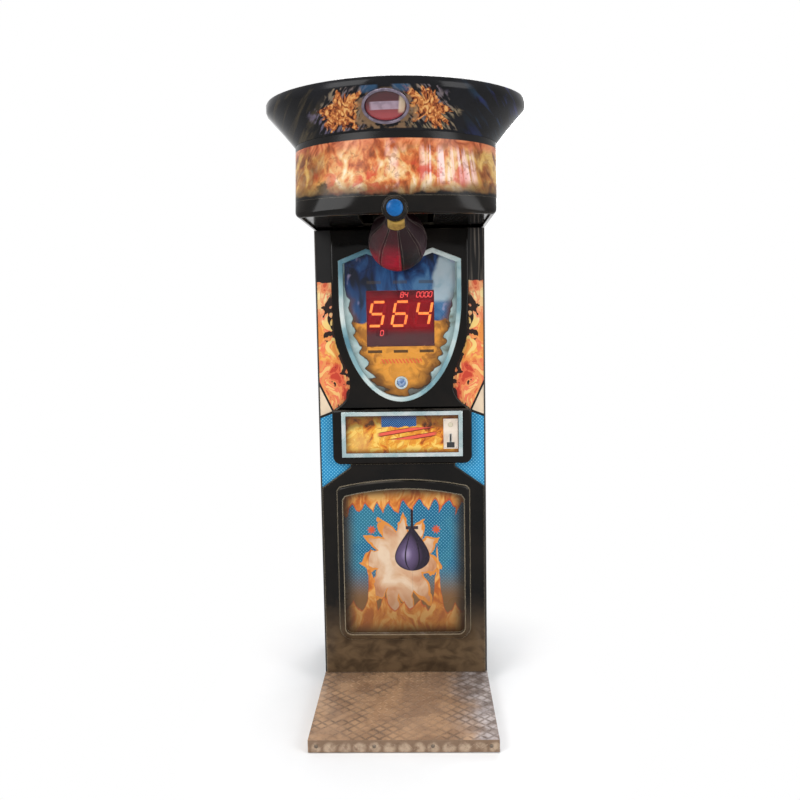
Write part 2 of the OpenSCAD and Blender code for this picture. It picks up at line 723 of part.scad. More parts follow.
module back_panel() color("black") difference() {
  slab(0, half_w - board_t, col_d - board_t, col_d, floor_z, head_z);
  slab(0, door_hw, col_d - board_t - cut, col_d + cut, door_z, door_z + door_h);
  slab(drawer_x + drawer_w / 2, drawer_w / 2 + door_gap, col_d - board_t - cut, col_d + cut,
    floor_z - cut, floor_z + drawer_h + door_gap + ease);
  for (i = [0:9], s = [-1, 1]) slab(s * 110, 80, col_d - board_t - cut, col_d + cut, vent_z(i), vent_z(i) + 8);
  slab(inlet_x, 14 + ease, col_d - board_t - cut, col_d + cut, inlet_z - 10.5 - ease, inlet_z + 10.5 + ease);
}
function vent_z(i) = door_z + door_h + 60 + i * 20;

module back_door() color("black") difference() {
  slab(0, door_hw - door_gap, col_d - board_t + 2, col_d, door_z + door_gap, door_z + door_h - door_gap);
  rod_y(lock_x, lock_z, 9 + ease, col_d - board_t, col_d + cut);
}

// Each hinge has three knuckles: the fixed leaf holds the outer two and the pin.
hinges_at = [door_z + 90, door_z + door_h - 90 - hinge_h];
module leaf(z, side, spans, bore) {
  slab(hinge_x + side * (hinge_r + 0.4 + 12), 12, col_d, col_d + 2, z, z + hinge_h);
  for (g = spans) {
    slab(hinge_x + side * (hinge_r + 0.4 + 3) / 2, (hinge_r + 0.4 + 3) / 2, col_d, col_d + 2, z + g[0], z + g[1]);
    translate([hinge_x, yd(col_d + hinge_r), z + g[0]]) cylinder(r = hinge_r, h = g[1] - g[0]);
  }
}
module hinge_leaves() color("silver") for (z = hinges_at) {
  leaf(z, -1, [[0, 25], [55, hinge_h]]);
  translate([hinge_x, yd(col_d + hinge_r), z]) cylinder(r = 2.5, h = hinge_h);
}
module door_leaves() color("silver") for (z = hinges_at) difference() {
  leaf(z, 1, [[25 + ease, 55 - ease]]);
  translate([hinge_x, yd(col_d + hinge_r), z]) cylinder(r = 2.5 + fit / 2, h = hinge_h);
}

module lock_barrel() color("silver") difference() {
  union() {
    rod_y(lock_x, lock_z, 12, col_d, col_d + 3);
    rod_y(lock_x, lock_z, 9, col_d - board_t + 1, col_d);
    rod_y(lock_x, lock_z, 5, col_d - board_t - 7, col_d - board_t + 1);
  }
  slab(lock_x, 1, col_d - 4, col_d + 3 + cut, lock_z - 4, lock_z + 4);
}

module lock_cam() color("gray") difference() {
  union() {
    rod_y(lock_x, lock_z, 9, col_d - board_t - 5, col_d - board_t - 1);
    slab(lock_x, 7, col_d - board_t - 5, col_d - board_t - 1, lock_z - 42, lock_z);
  }
  rod_y(lock_x, lock_z, 5 + fit / 2, col_d - board_t - 6, col_d - board_t);
}

module cash_drawer() color("gray") {
  z0 = floor_z + ease;
  x0 = drawer_x + drawer_w / 2;
  difference() {
    slab(x0, drawer_w / 2 - 1, drawer_d, col_d - drawer_front_t, z0, z0 + drawer_h);
    slab(x0, drawer_w / 2 - 3, drawer_d + 2, col_d - drawer_front_t - 2, z0 + 2, z0 + drawer_h + cut);
  }
  slab(x0, drawer_w / 2, col_d - drawer_front_t, col_d, z0, z0 + drawer_h);
  for (s = [-1, 1]) rod_y(x0 + s * 35, z0 + drawer_h * 0.55, 4, col_d, col_d + 24);
  rod_x(x0 - 42, x0 + 42, col_d + 24, z0 + drawer_h * 0.55, 5);
}

// Electrical parts

supply_x = -half_w + board_t + 75;
module power_supply() color("silver") difference() {
  slab(supply_x, 50, 60, 260, floor_z, floor_z + 52);
  for (i = [0:8]) slab(supply_x, 36, 90 + i * 17, 96 + i * 17, floor_z + 50, floor_z + 52 + cut);
}

board_x = -half_w + board_t;
board_z = coin_z - 60;
module control_board() color("darkgreen") {
  box([board_x + 10, yd(120), board_z], [board_x + 11.6, yd(280), board_z + 200]);
  for (d = [130, 270], z = [board_z + 10, board_z + 190]) rod_x(board_x, board_x + 10, d, z, 4);
  for (c = [[150, 40, 30, 8], [200, 60, 40, 5], [170, 130, 50, 14]])
    box([board_x + 11.6, yd(c[0]), board_z + c[1]], [board_x + 11.6 + c[3], yd(c[0] + c[2]), board_z + c[1] + c[2]]);
}

inlet_x = -150;
inlet_z = floor_z + 80;
module power_inlet() color("black") difference() {
  union() {
    slab(inlet_x, 25, col_d, col_d + 3, inlet_z - 15, inlet_z + 15);
    slab(inlet_x, 14, col_d - board_t - 8, col_d, inlet_z - 10.5, inlet_z + 10.5);
  }
  difference() {
    slab(inlet_x, 12.3, col_d - 13, col_d + 3 + cut, inlet_z - 8.5, inlet_z + 8.5);
    for (p = [[-7, -2], [0, 2], [7, -2]]) slab(inlet_x + p[0], 1, col_d - 14, col_d - 5, inlet_z + p[1] - 2, inlet_z + p[1] + 2);
  }
}

// Mast and swing

module tube_y(x, w, d0, d1, z0, z1) difference() {
  slab(x, w / 2, d0, d1, z0, z1);
  slab(x, w / 2 - mast_wall, d0 - cut, d1 + cut, z0 + mast_wall, z1 - mast_wall);
}
module tube_x(hw, d0, d1, z0, z1) difference() {
  slab(0, hw, d0, d1, z0, z1);
  slab(0, hw + cut, d0 + mast_wall, d1 - mast_wall, z0 + mast_wall, z1 - mast_wall);
}
module mast() color("dimgray") {
  for (s = [-1, 1]) {
    difference() {
      union() {
        slab(s * mast_x, mast_w / 2 + flange_side, mast_d - 22, mast_d + mast_w + 22, floor_z, floor_z + flange_t);
        slab(s * mast_x, mast_w / 2, mast_d, mast_d + mast_w, floor_z, arm_z);
      }
      slab(s * mast_x, mast_w / 2 - mast_wall, mast_d + mast_wall, mast_d + mast_w - mast_wall,
        floor_z - cut, arm_z + cut);
    }
    tube_y(s * arm_x, arm_w, arm_front, mast_d, arm_z, bar_z);
  }
  tube_x(mast_x + mast_w / 2, mast_d, mast_d + mast_w, arm_z, bar_z);
  tube_x(arm_out, arm_front, arm_front + arm_w, bar_z, bar_z + arm_w);
  tube_x(arm_out, keeper_d - arm_w / 2, keeper_d + arm_w / 2, bar_z, bar_z + arm_w);
}

module pillow_blocks() color("slategray") for (s = [-1, 1]) difference() {
  union() {
    rod_x(s * arm_x - block_w / 2, s * arm_x + block_w / 2, pivot_d, pivot_z, block_r);
    slab(s * arm_x, block_w / 2, pivot_d - block_r, pivot_d + block_r, pivot_z, arm_z);
    slab(s * arm_x, block_w / 2, pivot_d - block_l / 2, pivot_d + block_l / 2, arm_z - 8, arm_z);
  }
  rod_x(s * arm_x - block_w, s * arm_x + block_w, pivot_d, pivot_z, shaft_r + fit / 2);
}

shaft_end = arm_x + block_w / 2 + 4;
encoder_x = arm_out + 9;
module pivot_shaft() color("silver") {
  rod_x(-shaft_end, encoder_x + 6, pivot_d, pivot_z, shaft_r);
  for (x = [-shaft_end + 1, shaft_end - 3]) rod_x(x, x + 2, pivot_d, pivot_z, shaft_r + 2);
}

module encoder_disc() color("black") difference() {
  union() {
    rod_x(encoder_x, encoder_x + 2, pivot_d, pivot_z, encoder_r);
    rod_x(encoder_x - 5, encoder_x + 5, pivot_d, pivot_z, shaft_r + 4);
  }
  rod_x(encoder_x - 6, encoder_x + 6, pivot_d, pivot_z, shaft_r);
  for (i = [0:encoder_slots - 1]) translate([0, yd(pivot_d), pivot_z]) rotate([i * 360 / encoder_slots, 0, 0])
    box([encoder_x - cut, -0.8, encoder_r - 5], [encoder_x + 2 + cut, 0.8, encoder_r - 1.5]);
}

module opto_sensor() color("darkslategray") difference() {
  slab((arm_out + encoder_x + 10) / 2, (encoder_x + 10 - arm_out) / 2, pivot_d - 8, pivot_d + 8,
    pivot_z + encoder_r - 3.5, arm_z + 14);
  slab(encoder_x + 1, 2.5, pivot_d - 9, pivot_d + 9, pivot_z + encoder_r - 4.5, pivot_z + encoder_r + 2);
}

// The bag's own axis runs from the pivot, and at rest it droops towards the column.
module along_bag() {
  translate([0, yd(pivot_d), pivot_z]) rotate([-90 - droop, 0, 0]) children();
}

rod_l = neck_s + 90;
module swing_arm() color("dimgray") difference() {
  union() {
    rod_x(-24, 24, pivot_d, pivot_z, shaft_r + 8);
    along_bag() cylinder(r = rod_r, h = rod_l);
    translate([-12, 0, 0]) rotate([90, 0, 90]) linear_extrude(24) polygon([
      for (p = [[-15, 12], [10, keeper_t + 22.5], [163, keeper_t + 22.5], [163, 22.5], [40, 22.5], [15, 2]])
        [yd(pivot_d) + p[0], pivot_z + p[1]]
    ]);
    slab(0, 58, keeper_d - 21, keeper_d + 21, keeper_z, keeper_z + keeper_t);
  }
  rod_x(-25, 25, pivot_d, pivot_z, shaft_r);
}

module bag_collar() color("black") along_bag() translate([0, 0, neck_s - 6]) difference() {
  cylinder(r = neck_r + 1, h = 6);
  translate([0, 0, -cut]) cylinder(r = rod_r, h = 6 + 2 * cut);
}

// Distance from the pivot and radius of the bag's outline, then its bore for the rod.
bag_far = bag_centre + bag_r * 1.04;
function bag_outline() = concat(
  [[rod_r + fit, neck_s], [neck_r, neck_s], [neck_r + 1, neck_s + 22]],
  [for (i = [0:5]) let (t = i / 5) [lerp(neck_r + 5, bag_r * 0.93, t * t * (3 - 2 * t)),
    lerp(neck_s + 45, bag_centre - bag_r * 0.42, t)]],
  [for (i = [-2:9]) let (q = 10 * i) [bag_r * cos(q), bag_centre + bag_r * 1.04 * sin(q)]],
  [[0, rod_l + ease], [rod_r + fit, rod_l + ease]]
);
module punch_bag() color("crimson") along_bag() rotate_extrude($fn = 64) polygon(bag_outline());

module holding_magnet() color("silver")
  translate([0, yd(keeper_d), keeper_z + keeper_t + ease]) cylinder(r = 19, h = bar_z - keeper_z - keeper_t - ease);

module bump_stops() color("black") for (s = [-1, 1])
  translate([s * 42, yd(keeper_d), keeper_z + keeper_t + ease]) cylinder(r1 = 8, r2 = 11, h = bar_z - keeper_z - keeper_t - ease);

// Head

print_steps = 4;
print_rows = [for (i = [0:print_steps]) lerp(drum_h, dark_band, i / print_steps)];
module drum_shell() color("black") difference() {
  wall([
    for (p = concat(
      [for (h = print_rows) [print_t, h]], [[0, dark_band]],
      [for (i = [0:4]) let (q = 22.5 * i) [drum_round * (1 - cos(q)), drum_round * (1 - sin(q))]],
      [[drum_round, ledge_t], [wall_in + 4, ledge_t], [wall_in, ledge_t * 2]],
      [for (i = [print_steps:-1:0]) [wall_in, print_rows[i]]]
    )) drum_ring(p[0], p[1])
  ]);
  slab(0, drum_hw - 45, -drum_reach - cut, nose_y - 20, head_z + dark_band + 25, crown_z - 25);
  plate([for (p = arc([0, head_z + start_rise], (pod_r + ease) / cos(4), 0, -352, 44)) p], -drum_reach - 20, 42);
}

// The print is a band round the drum, which is lit from inside.
module drum_print() color("orange") wall(concat(
  [for (h = print_rows) drum_ring(0, h)],
  [for (i = [print_steps:-1:0]) drum_ring(print_t - ease, print_rows[i])]
));

module head_floor() color("black") difference() {
  translate([0, 0, head_z + ledge_t]) linear_extrude(floor_t) polygon(drum_plan(wall_in + 4 + ease, ledge_t));
  slab(0, bay_hw, -drum_reach, bay_back, head_z, head_z + ledge_t + floor_t + cut);
  for (s = [-1, 1])
    slab(s * mast_x, mast_w / 2 + 1, mast_d - 1, mast_d + mast_w + 1, head_z, head_z + ledge_t + floor_t + cut);
}

module light_board() color("white") {
  slab(0, arm_x, arm_front + 10, arm_front + 13, bar_z + arm_w, bar_z + arm_w + light_h);
  for (k = [0.3, 0.75]) slab(0, arm_x - 5, arm_front + 4, arm_front + 10,
    bar_z + arm_w + light_h * k - 8, bar_z + arm_w + light_h * k + 8);
}

pod_d = -drum_reach - 12;
module start_pod() color("black") translate([0, yd(pod_d), head_z + start_rise]) rotate([-90, 0, 0])
  rotate_extrude($fn = 72) polygon([
    [start_r + fit, 0], [lerp(start_r, pod_r, 0.4), 0], [lerp(start_r, pod_r, 0.55), 2.5],
    [lerp(start_r, pod_r, 0.75), 3], [pod_r, 6], [pod_r, 20], [0, 20],
    [0, 18], [start_r + fit, 18]
  ]);

module start_button() color("dodgerblue") translate([0, yd(pod_d - 9), head_z + start_rise]) rotate([-90, 0, 0])
  rotate_extrude($fn = 72) polygon(concat(
    [for (i = [0:6]) let (q = 15 * i) [start_r * sin(q), 8 * (1 - cos(q))]],
    [[start_r, 22], [0, 22]]
  ));

// The crown flares out from the drum to its rim, and a ledge inside the rim carries the lid.
crown_t = 6;
flare = [[0, 0], [0.34, 0.276], [0.7, 0.552], [0.955, 0.731], [1, 0.8], [1, 0.945]];
module crown_shell() color("black") difference() {
  wall([
    for (p = concat(
      [for (f = flare) [f[0], 0, f[1] * crown_h]],
      [[1, 3, crown_h - 2], [1, 9, crown_h], [1, 15, crown_h], [1, 15, crown_h - 25], [1, 35, crown_h - 25],
       [1, 35, crown_h - 30], [1, crown_t + 2, crown_h - 32]],
      [for (i = [3:-1:0]) [flare[i][0], crown_t, flare[i][1] * crown_h]]
    )) [for (v = crown_plan(p[0], p[1])) [v[0], v[1], crown_z + p[2]]]
  ]);
  on_badge() translate([0, 0, -30]) linear_extrude(60) polygon(oval(badge_w / 2 - 5 + ease, badge_h / 2 - 5 + ease));
}

// The badge sits in the middle of the crown's sloped front.
badge_g = 0.55;
badge_rise = 2.6;
badge_tilt = atan2(0.7 * (crown_nose - nose_d), 0.552 * crown_h);
function oval(a, b) = [for (i = [0:59]) let (q = -6 * i) [a * cos(q), b * sin(q)]];
function badge_y(x) = nose(lerp(drum_hw + 1, crown_hw, badge_g), lerp(nose_d + 1, crown_nose, badge_g), x);
module on_badge() {
  translate([badge_x, yd(badge_y(abs(badge_x))), crown_z + badge_g * 0.8 * crown_h])
    rotate([0, 0, sign(badge_x) * atan(badge_y(abs(badge_x) + 1) - badge_y(abs(badge_x)))])
      rotate([90 + badge_tilt, 0, 0]) children();
}

module badge_bezel() color("silver") on_badge() {
  difference() {
    union() {
      translate([0, 0, badge_rise]) linear_extrude(6) polygon(oval(badge_w / 2, badge_h / 2));
      translate([0, 0, -12]) linear_extrude(13 + badge_rise) polygon(oval(badge_w / 2 - 5, badge_h / 2 - 5));
    }
    translate([0, 0, -13]) linear_extrude(22 + badge_rise) polygon(oval(badge_w / 2 - 9, badge_h / 2 - 9));
  }
}

module badge_lens() color("firebrick") on_badge() {
  translate([0, 0, badge_rise - 8]) linear_extrude(10) polygon(oval(badge_w / 2 - 9 - ease, badge_h / 2 - 9 - ease));
}

module head_lid() color("black")
  translate([0, 0, lid_z]) linear_extrude(shell_t) polygon(crown_plan(1, 15 + ease));

base_frame();
tread_plate();
lip_screws();
levelling_feet();
castor_brackets();
castor_wheel_left();
castor_wheel_right();
side_panel_left();
side_panel_right();
front_board();
edge_trims();
display_surround();
coin_surround();
picture_surround();
shield_bezel();
shield_panel();
display_filter();
digit_modules();
display_board();
select_ring();
select_button();
coin_bezel();
coin_panel();
coin_plate();
coin_mech();
coin_chute();
reject_button();
return_flap();
picture_panel();
cabinet_floor();
back_panel();
back_door();
hinge_leaves();
door_leaves();
lock_barrel();
lock_cam();
cash_drawer();
power_supply();
control_board();
power_inlet();
mast();
pillow_blocks();
pivot_shaft();
encoder_disc();
opto_sensor();
swing_arm();
bag_collar();
punch_bag();
holding_magnet();
bump_stops();
head_floor();
drum_shell();
drum_print();
light_board();
start_pod();
start_button();
crown_shell();
badge_bezel();
badge_lens();
head_lid();
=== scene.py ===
"""Strength tester machine: the looks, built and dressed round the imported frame."""

import json
import logging
import math
from dataclasses import dataclass, field
from enum import Enum
from typing import Any, Dict, Iterable, List, Optional, Sequence, Tuple, Union

import bmesh
import bpy
from mathutils import Matrix, Vector


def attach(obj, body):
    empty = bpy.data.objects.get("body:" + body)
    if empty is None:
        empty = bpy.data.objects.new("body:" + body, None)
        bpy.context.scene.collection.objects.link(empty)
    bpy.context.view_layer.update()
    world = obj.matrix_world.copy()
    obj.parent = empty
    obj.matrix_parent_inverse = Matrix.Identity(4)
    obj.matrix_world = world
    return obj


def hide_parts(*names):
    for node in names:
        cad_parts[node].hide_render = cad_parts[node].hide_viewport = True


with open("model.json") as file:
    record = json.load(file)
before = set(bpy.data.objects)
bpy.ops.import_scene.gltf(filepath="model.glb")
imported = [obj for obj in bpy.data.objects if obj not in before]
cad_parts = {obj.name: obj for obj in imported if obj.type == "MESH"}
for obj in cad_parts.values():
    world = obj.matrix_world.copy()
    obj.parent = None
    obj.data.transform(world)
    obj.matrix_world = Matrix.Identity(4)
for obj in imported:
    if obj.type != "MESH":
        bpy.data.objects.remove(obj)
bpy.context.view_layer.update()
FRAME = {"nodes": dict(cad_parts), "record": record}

LOG = logging.getLogger("strength_tester")
MM = 0.001
FRONT = 22.5 * MM
COLUMN_HALF = 325 * MM
BADGE_X = -22 * MM

Colour = Tuple[float, float, float]
Point = Tuple[float, float, float]
Stop = Tuple[float, int, int, int]
Mesh = bmesh.types.BMesh
Piece = bpy.types.Object


def rgb(red: int, green: int, blue: int) -> Colour:
    """Turns an sRGB colour into the linear numbers that shaders take.

    Args:
        red: Red, 0 to 255.
        green: Green, 0 to 255.
        blue: Blue, 0 to 255.

    Returns:
        The three linear numbers.
    """

    def linear(level: int) -> float:
        """Undoes the sRGB curve for one channel."""
        share = level / 255
        return share / 12.92 if share <= 0.04045 else ((share + 0.055) / 1.055) ** 2.4

    return linear(red), linear(green), linear(blue)


# Node graphs


class Field:
    """A number that changes over the surface. Arithmetic on it adds Math nodes."""

    def __init__(self, graph: "Graph", socket: bpy.types.NodeSocket) -> None:
        """Keeps the graph and the output socket that gives the number."""
        self.graph = graph
        self.socket = socket

    def __add__(self, other: "Number") -> "Field":
        """Adds."""
        return self.graph.math("ADD", self, other)

    def __sub__(self, other: "Number") -> "Field":
        """Takes away."""
        return self.graph.math("SUBTRACT", self, other)

    def __rsub__(self, other: "Number") -> "Field":
        """Takes this from a plain number."""
        return self.graph.math("SUBTRACT", other, self)

    def __mul__(self, other: "Number") -> "Field":
        """Multiplies."""
        return self.graph.math("MULTIPLY", self, other)

    def __truediv__(self, other: "Number") -> "Field":
        """Divides."""
        return self.graph.math("DIVIDE", self, other)

    def __abs__(self) -> "Field":
        """Drops the sign."""
        return self.graph.math("ABSOLUTE", self)

    def least(self, other: "Number") -> "Field":
        """The smaller of the two."""
        return self.graph.math("MINIMUM", self, other)

    def most(self, other: "Number") -> "Field":
        """The larger of the two."""
        return self.graph.math("MAXIMUM", self, other)

    def power(self, other: "Number") -> "Field":
        """Raises to a power."""
        return self.graph.math("POWER", self, other)

    def rise(self, low: "Number", high: "Number") -> "Field":
        """Goes smoothly from 0 at low to 1 at high."""
        inputs = {"Value": self, "From Min": low, "From Max": high}
        return self.graph.out(self.graph.node("MapRange", inputs, interpolation_type="SMOOTHSTEP"))

    def fall(self, low: "Number", high: "Number") -> "Field":
        """Goes smoothly from 1 at low to 0 at high."""
        return 1 - self.rise(low, high)

    def band(self, middle: float, half: float, soft: float) -> "Field":
        """Is 1 within half of the middle, and fades over soft."""
        return abs(self - middle).fall(half, half + soft)


Number = Union[float, Field]
Fields = Dict[str, Field]
Coat = Tuple[Number, Any]


class Graph:
    """Adds nodes to one node tree and joins them."""

    def __init__(self, tree: bpy.types.NodeTree) -> None:
        """Takes the tree that the nodes go into."""
        self.tree = tree

    def feed(self, socket: bpy.types.NodeSocket, value: Any) -> None:
        """Links a field to a socket, or sets a plain value on it.

        Args:
            socket: The input socket.
            value: A field, a number, a colour or a vector.
        """
        if isinstance(value, Field):
            self.tree.links.new(value.socket, socket)
        elif socket.type == "RGBA":
            socket.default_value = (*value, 1.0)
        else:
            socket.default_value = value

    def node(self, kind: str, inputs: Dict[Any, Any], **settings: Any) -> bpy.types.Node:
        """Adds one node.

        Args:
            kind: The node's type, without its leading word.
            inputs: Value for each input, by name or number.
            settings: The node's own settings.

        Returns:
            The new node.
        """
        made = self.tree.nodes.new("ShaderNode" + kind)
        for name, value in settings.items():
            setattr(made, name, value)
        for key, value in inputs.items():
            self.feed(made.inputs[key], value)
        return made

    def out(self, made: bpy.types.Node, key: Any = 0) -> Field:
        """Gives an output of a node as a field."""
        return Field(self, made.outputs[key])

    def math(self, operation: str, a: Number, b: Number = 0.0) -> Field:
        """Adds one Math node."""
        return self.out(self.node("Math", {0: a, 1: b}, operation=operation))

    def span(self, value: Field, low: float, high: float) -> Field:
        """Spreads a mask from 0..1 to low..high."""
        return self.out(self.node("MapRange", {"Value": value, "To Min": low, "To Max": high}))

    def mix(self, share: Number, a: Any, b: Any) -> Field:
        """Mixes two colours by the share of the second."""
        return self.out(self.node("Mix", {0: share, 6: a, 7: b}, data_type="RGBA"), 2)

    def layers(self, base: Any, coats: Iterable[Coat]) -> Field:
        """Lays colours over one another.

        Args:
            base: The lowest colour.
            coats: The mask and colour of each layer above it, from the lowest up.

        Returns:
            The colour.
        """
        for mask, colour in coats:
            base = self.mix(mask, base, colour)
        return base

    def ramp(self, value: Field, stops: Sequence[Stop], steps: bool = False) -> Field:
        """Colours a number by a ramp.

        Args:
            value: Where on the ramp.
            stops: Each stop's place and sRGB colour, from low to high.
            steps: Whether each colour stays flat up to the next stop.

        Returns:
            The colour.
        """
        made = self.node("ValToRGB", {0: value})
        made.color_ramp.interpolation = "CONSTANT" if steps else "LINEAR"
        elements = made.color_ramp.elements
        while len(elements) < len(stops):
            elements.new(1.0)
        for element, (place, *colour) in zip(elements, stops):
            element.position = place
            element.color = (*rgb(*colour), 1.0)
        return self.out(made)

    @staticmethod
    def reach(a: Field, b: Field, weight: float = 1.0) -> Field:
        """How far a point is from zero, where weight stretches its second side."""
        return (a * a + b * b * weight).power(0.5)

    def vector(self, x: Number, y: Number, z: Number) -> Field:
        """Joins three numbers into a vector."""
        return self.out(self.node("CombineXYZ", {0: x, 1: y, 2: z}))

    def noise(self, place: Field, scale: Number, detail: float = 2.0, twist: float = 0.0) -> Field:
        """A noise texture's level, about 0.5, with scale as lumps per metre."""
        inputs = {"Vector": place, "Scale": scale, "Detail": detail, "Distortion": twist}
        return self.out(self.node("TexNoise", inputs))

    def cloud(self, x: Number, y: Number, z: Number, detail: float = 2.0, twist: float = 0.0) -> Field:
        """A noise texture's level at a point given in lumps, so that each axis has its own stretch."""
        return self.noise(self.vector(x, y, z), 1.0, detail, twist)

    def stray(self, place: Field, scale: float, width: float, detail: float = 2.0,
              twist: float = 0.0) -> Field:
        """A shift by noise, which stays within a width."""
        return (self.noise(place, scale, detail, twist) - 0.5) * width

    def place(self) -> Field:
        """The point on the object, in metres."""
        return self.out(self.node("TexCoord", {}), "Object")

    def parts(self, place: Field) -> Tuple[Field, Field, Field]:
        """Splits a vector into its three numbers."""
        made = self.node("SeparateXYZ", {0: place})
        return self.out(made, 0), self.out(made, 1), self.out(made, 2)

    def bump(self, height: Field, depth: float) -> Field:
        """Turns a height into a normal, where depth is the height of 1 in metres."""
        return self.out(self.node("Bump", {"Height": height, "Distance": depth}))

    def surface(self, **inputs: Any) -> None:
        """Adds the shader and the output. An input's name has _ for each space."""
        shader = self.node("BsdfPrincipled", {k.replace("_", " "): v for k, v in inputs.items()})
        self.node("OutputMaterial", {"Surface": self.out(shader)})


def blank(holder: Union[bpy.types.Material, bpy.types.World]) -> Graph:
    """Clears a material's or a world's nodes.

    Args:
        holder: The material or the world.

    Returns:
        Its graph.
    """
    holder.use_nodes = True
    holder.node_tree.nodes.clear()
    return Graph(holder.node_tree)


# Shared effects


class Effect:
    """A node group that more than one material uses."""

    title: str = ""
    takes: Dict[str, Any] = {}
    gives: Dict[str, str] = {}

    @classmethod
    def join(cls, graph: Graph, given: Fields) -> Fields:
        """Joins the group's nodes.

        Args:
            graph: The group's own tree.
            given: A field for each input.

        Returns:
            A field for each output.
        """
        raise NotImplementedError

    @classmethod
    def tree(cls) -> bpy.types.NodeTree:
        """Builds the group once, and gives it back after that."""
        made = bpy.data.node_groups.get(cls.title)
        if made is not None:
            return made
        made = bpy.data.node_groups.new(cls.title, "ShaderNodeTree")
        for name, value in cls.takes.items():
            kind = "NodeSocketVector" if value is None else "NodeSocketFloat"
            socket = made.interface.new_socket(name=name, in_out="INPUT", socket_type=kind)
            if value is not None:
                socket.default_value = value
        for name, kind in cls.gives.items():
            made.interface.new_socket(name=name, in_out="OUTPUT", socket_type="NodeSocket" + kind)
        graph = Graph(made)
        source = made.nodes.new("NodeGroupInput")
        target = made.nodes.new("NodeGroupOutput")
        given = {name: Field(graph, source.outputs[name]) for name in cls.takes}
        for name, result in cls.join(graph, given).items():
            graph.feed(target.inputs[name], result)
        return made

    @classmethod
    def add(cls, graph: Graph, **inputs: Any) -> Fields:
        """Places the group in a material.

        Args:
            graph: The material's graph.
            inputs: Value for each of the group's inputs.

        Returns:
            A field for each output.
        """
        made = graph.tree.nodes.new("ShaderNodeGroup")
        made.node_tree = cls.tree()
        for name, value in inputs.items():
            graph.feed(made.inputs[name], value)
        return {name: Field(graph, made.outputs[name]) for name in cls.gives}


class Flames(Effect):
    """Printed flame tongues: a heat level, and thin streaks between the tongues."""

    title = "printed_flames"
    takes = {"Across": 0.0, "Up": 0.0, "Size": 0.08, "Seed": 0.0}
    gives = {"Heat": "Float", "Streak": "Float"}

    @classmethod
    def join(cls, graph: Graph, given: Fields) -> Fields:
        """Stretches twisted noise upwards, and finds the lines along which it turns."""
        u, v = given["Across"] / given["Size"], given["Up"] / given["Size"]
        seed = given["Seed"]
        drift = graph.cloud(u * 0.8, v * 0.5, seed, 1.0) - 0.5
        tongues = graph.cloud(u + drift * 2.2, v * 0.5 + drift, seed + 3.0, 3.0, 1.2)
        strands = graph.cloud(u * 2.6 + drift * 4.0, v * 1.1, seed + 7.0, 2.0, 0.9)
        streak = abs(strands - 0.5).fall(0.012, 0.05)
        return {"Heat": tongues * 0.62 + strands * 0.38, "Streak": streak * tongues.rise(0.42, 0.56)}


class Halftone(Effect):
    """Round dots on a diagonal lattice."""

    title = "halftone_dots"
    takes = {"Across": 0.0, "Up": 0.0, "Pitch": 0.0135, "Dot": 0.27}
    gives = {"Mask": "Float"}
    soft = 0.07

    @classmethod
    def join(cls, graph: Graph, given: Fields) -> Fields:
        """Measures the distance to the nearest lattice point."""
        a = graph.math("FRACT", (given["Across"] + given["Up"]) / given["Pitch"]) - 0.5
        b = graph.math("FRACT", (given["Across"] - given["Up"]) / given["Pitch"]) - 0.5
        return {"Mask": graph.reach(a, b).fall(given["Dot"] - cls.soft, given["Dot"] + cls.soft)}


class Burst(Effect):
    """A many-pointed star round the middle."""

    title = "starburst"
    takes = {"Across": 0.0, "Up": 0.0, "Points": 12.0, "Inner": 0.08, "Outer": 0.12, "Turn": 0.0}
    gives = {"Mask": "Float", "Reach": "Float"}

    @classmethod
    def join(cls, graph: Graph, given: Fields) -> Fields:
        """Compares the distance from the middle with an edge that zigzags round it."""
        turn = graph.math("ARCTAN2", given["Up"], given["Across"]) / math.tau + given["Turn"]
        spike = abs(graph.math("FRACT", turn * given["Points"]) - 0.5) * 2
        reach = graph.reach(given["Across"], given["Up"])
        edge = given["Inner"] + (given["Outer"] - given["Inner"]) * spike
        return {"Mask": (reach - edge).fall(-0.001, 0.001), "Reach": reach}


class Smudge(Effect):
    """Soft uneven patches, as on much-touched or sun-faded surfaces."""

    title = "soft_smudges"
    takes = {"Vector": None, "Scale": 6.0}
    gives = {"Mask": "Float"}

    @classmethod
    def join(cls, graph: Graph, given: Fields) -> Fields:
        """Sharpens a broad noise."""
        broad = graph.noise(given["Vector"], given["Scale"], 4.0, 0.4)
        return {"Mask": broad.rise(0.34, 0.68)}


class Grain(Effect):
    """Fine pebbled grain, as on paint, rubber and moulded plastic."""

    title = "fine_grain"
    takes = {"Vector": None, "Scale": 700.0}
    gives = {"Height": "Float"}

    @classmethod
    def join(cls, graph: Graph, given: Fields) -> Fields:
        """Reads one fine noise."""
        return {"Height": graph.noise(given["Vector"], given["Scale"], 3.0)}


class Brushed(Effect):
    """Fine parallel lines along X, as on drawn or brushed metal."""

    title = "brushed_lines"
    takes = {"Vector": None, "Scale": 40.0}
    gives = {"Height": "Float"}

    @classmethod
    def join(cls, graph: Graph, given: Fields) -> Fields:
        """Stretches a noise along X."""
        x, y, z = graph.parts(given["Vector"])
        return {"Height": graph.noise(graph.vector(x * 0.02, y, z), given["Scale"] * 40, 2.0)}


class DustAndSheen(Effect):
    """Settled dust, mostly on faces that look up; where the amount is raised on the gloss black mouldings it
    is also a painted sheen on those faces.
    """

    title = "dust_and_sheen"
    takes = {"Vector": None, "Amount": 0.3}
    gives = {"Mask": "Float"}

    @classmethod
    def join(cls, graph: Graph, given: Fields) -> Fields:
        """Weighs the upward slope by a patchy noise."""
        normal = graph.out(graph.node("NewGeometry", {}), "Normal")
        up = graph.parts(normal)[2].rise(0.1, 0.95)
        patches = graph.noise(given["Vector"], 9.0, 5.0).rise(0.35, 0.7)
        return {"Mask": up * patches * given["Amount"]}


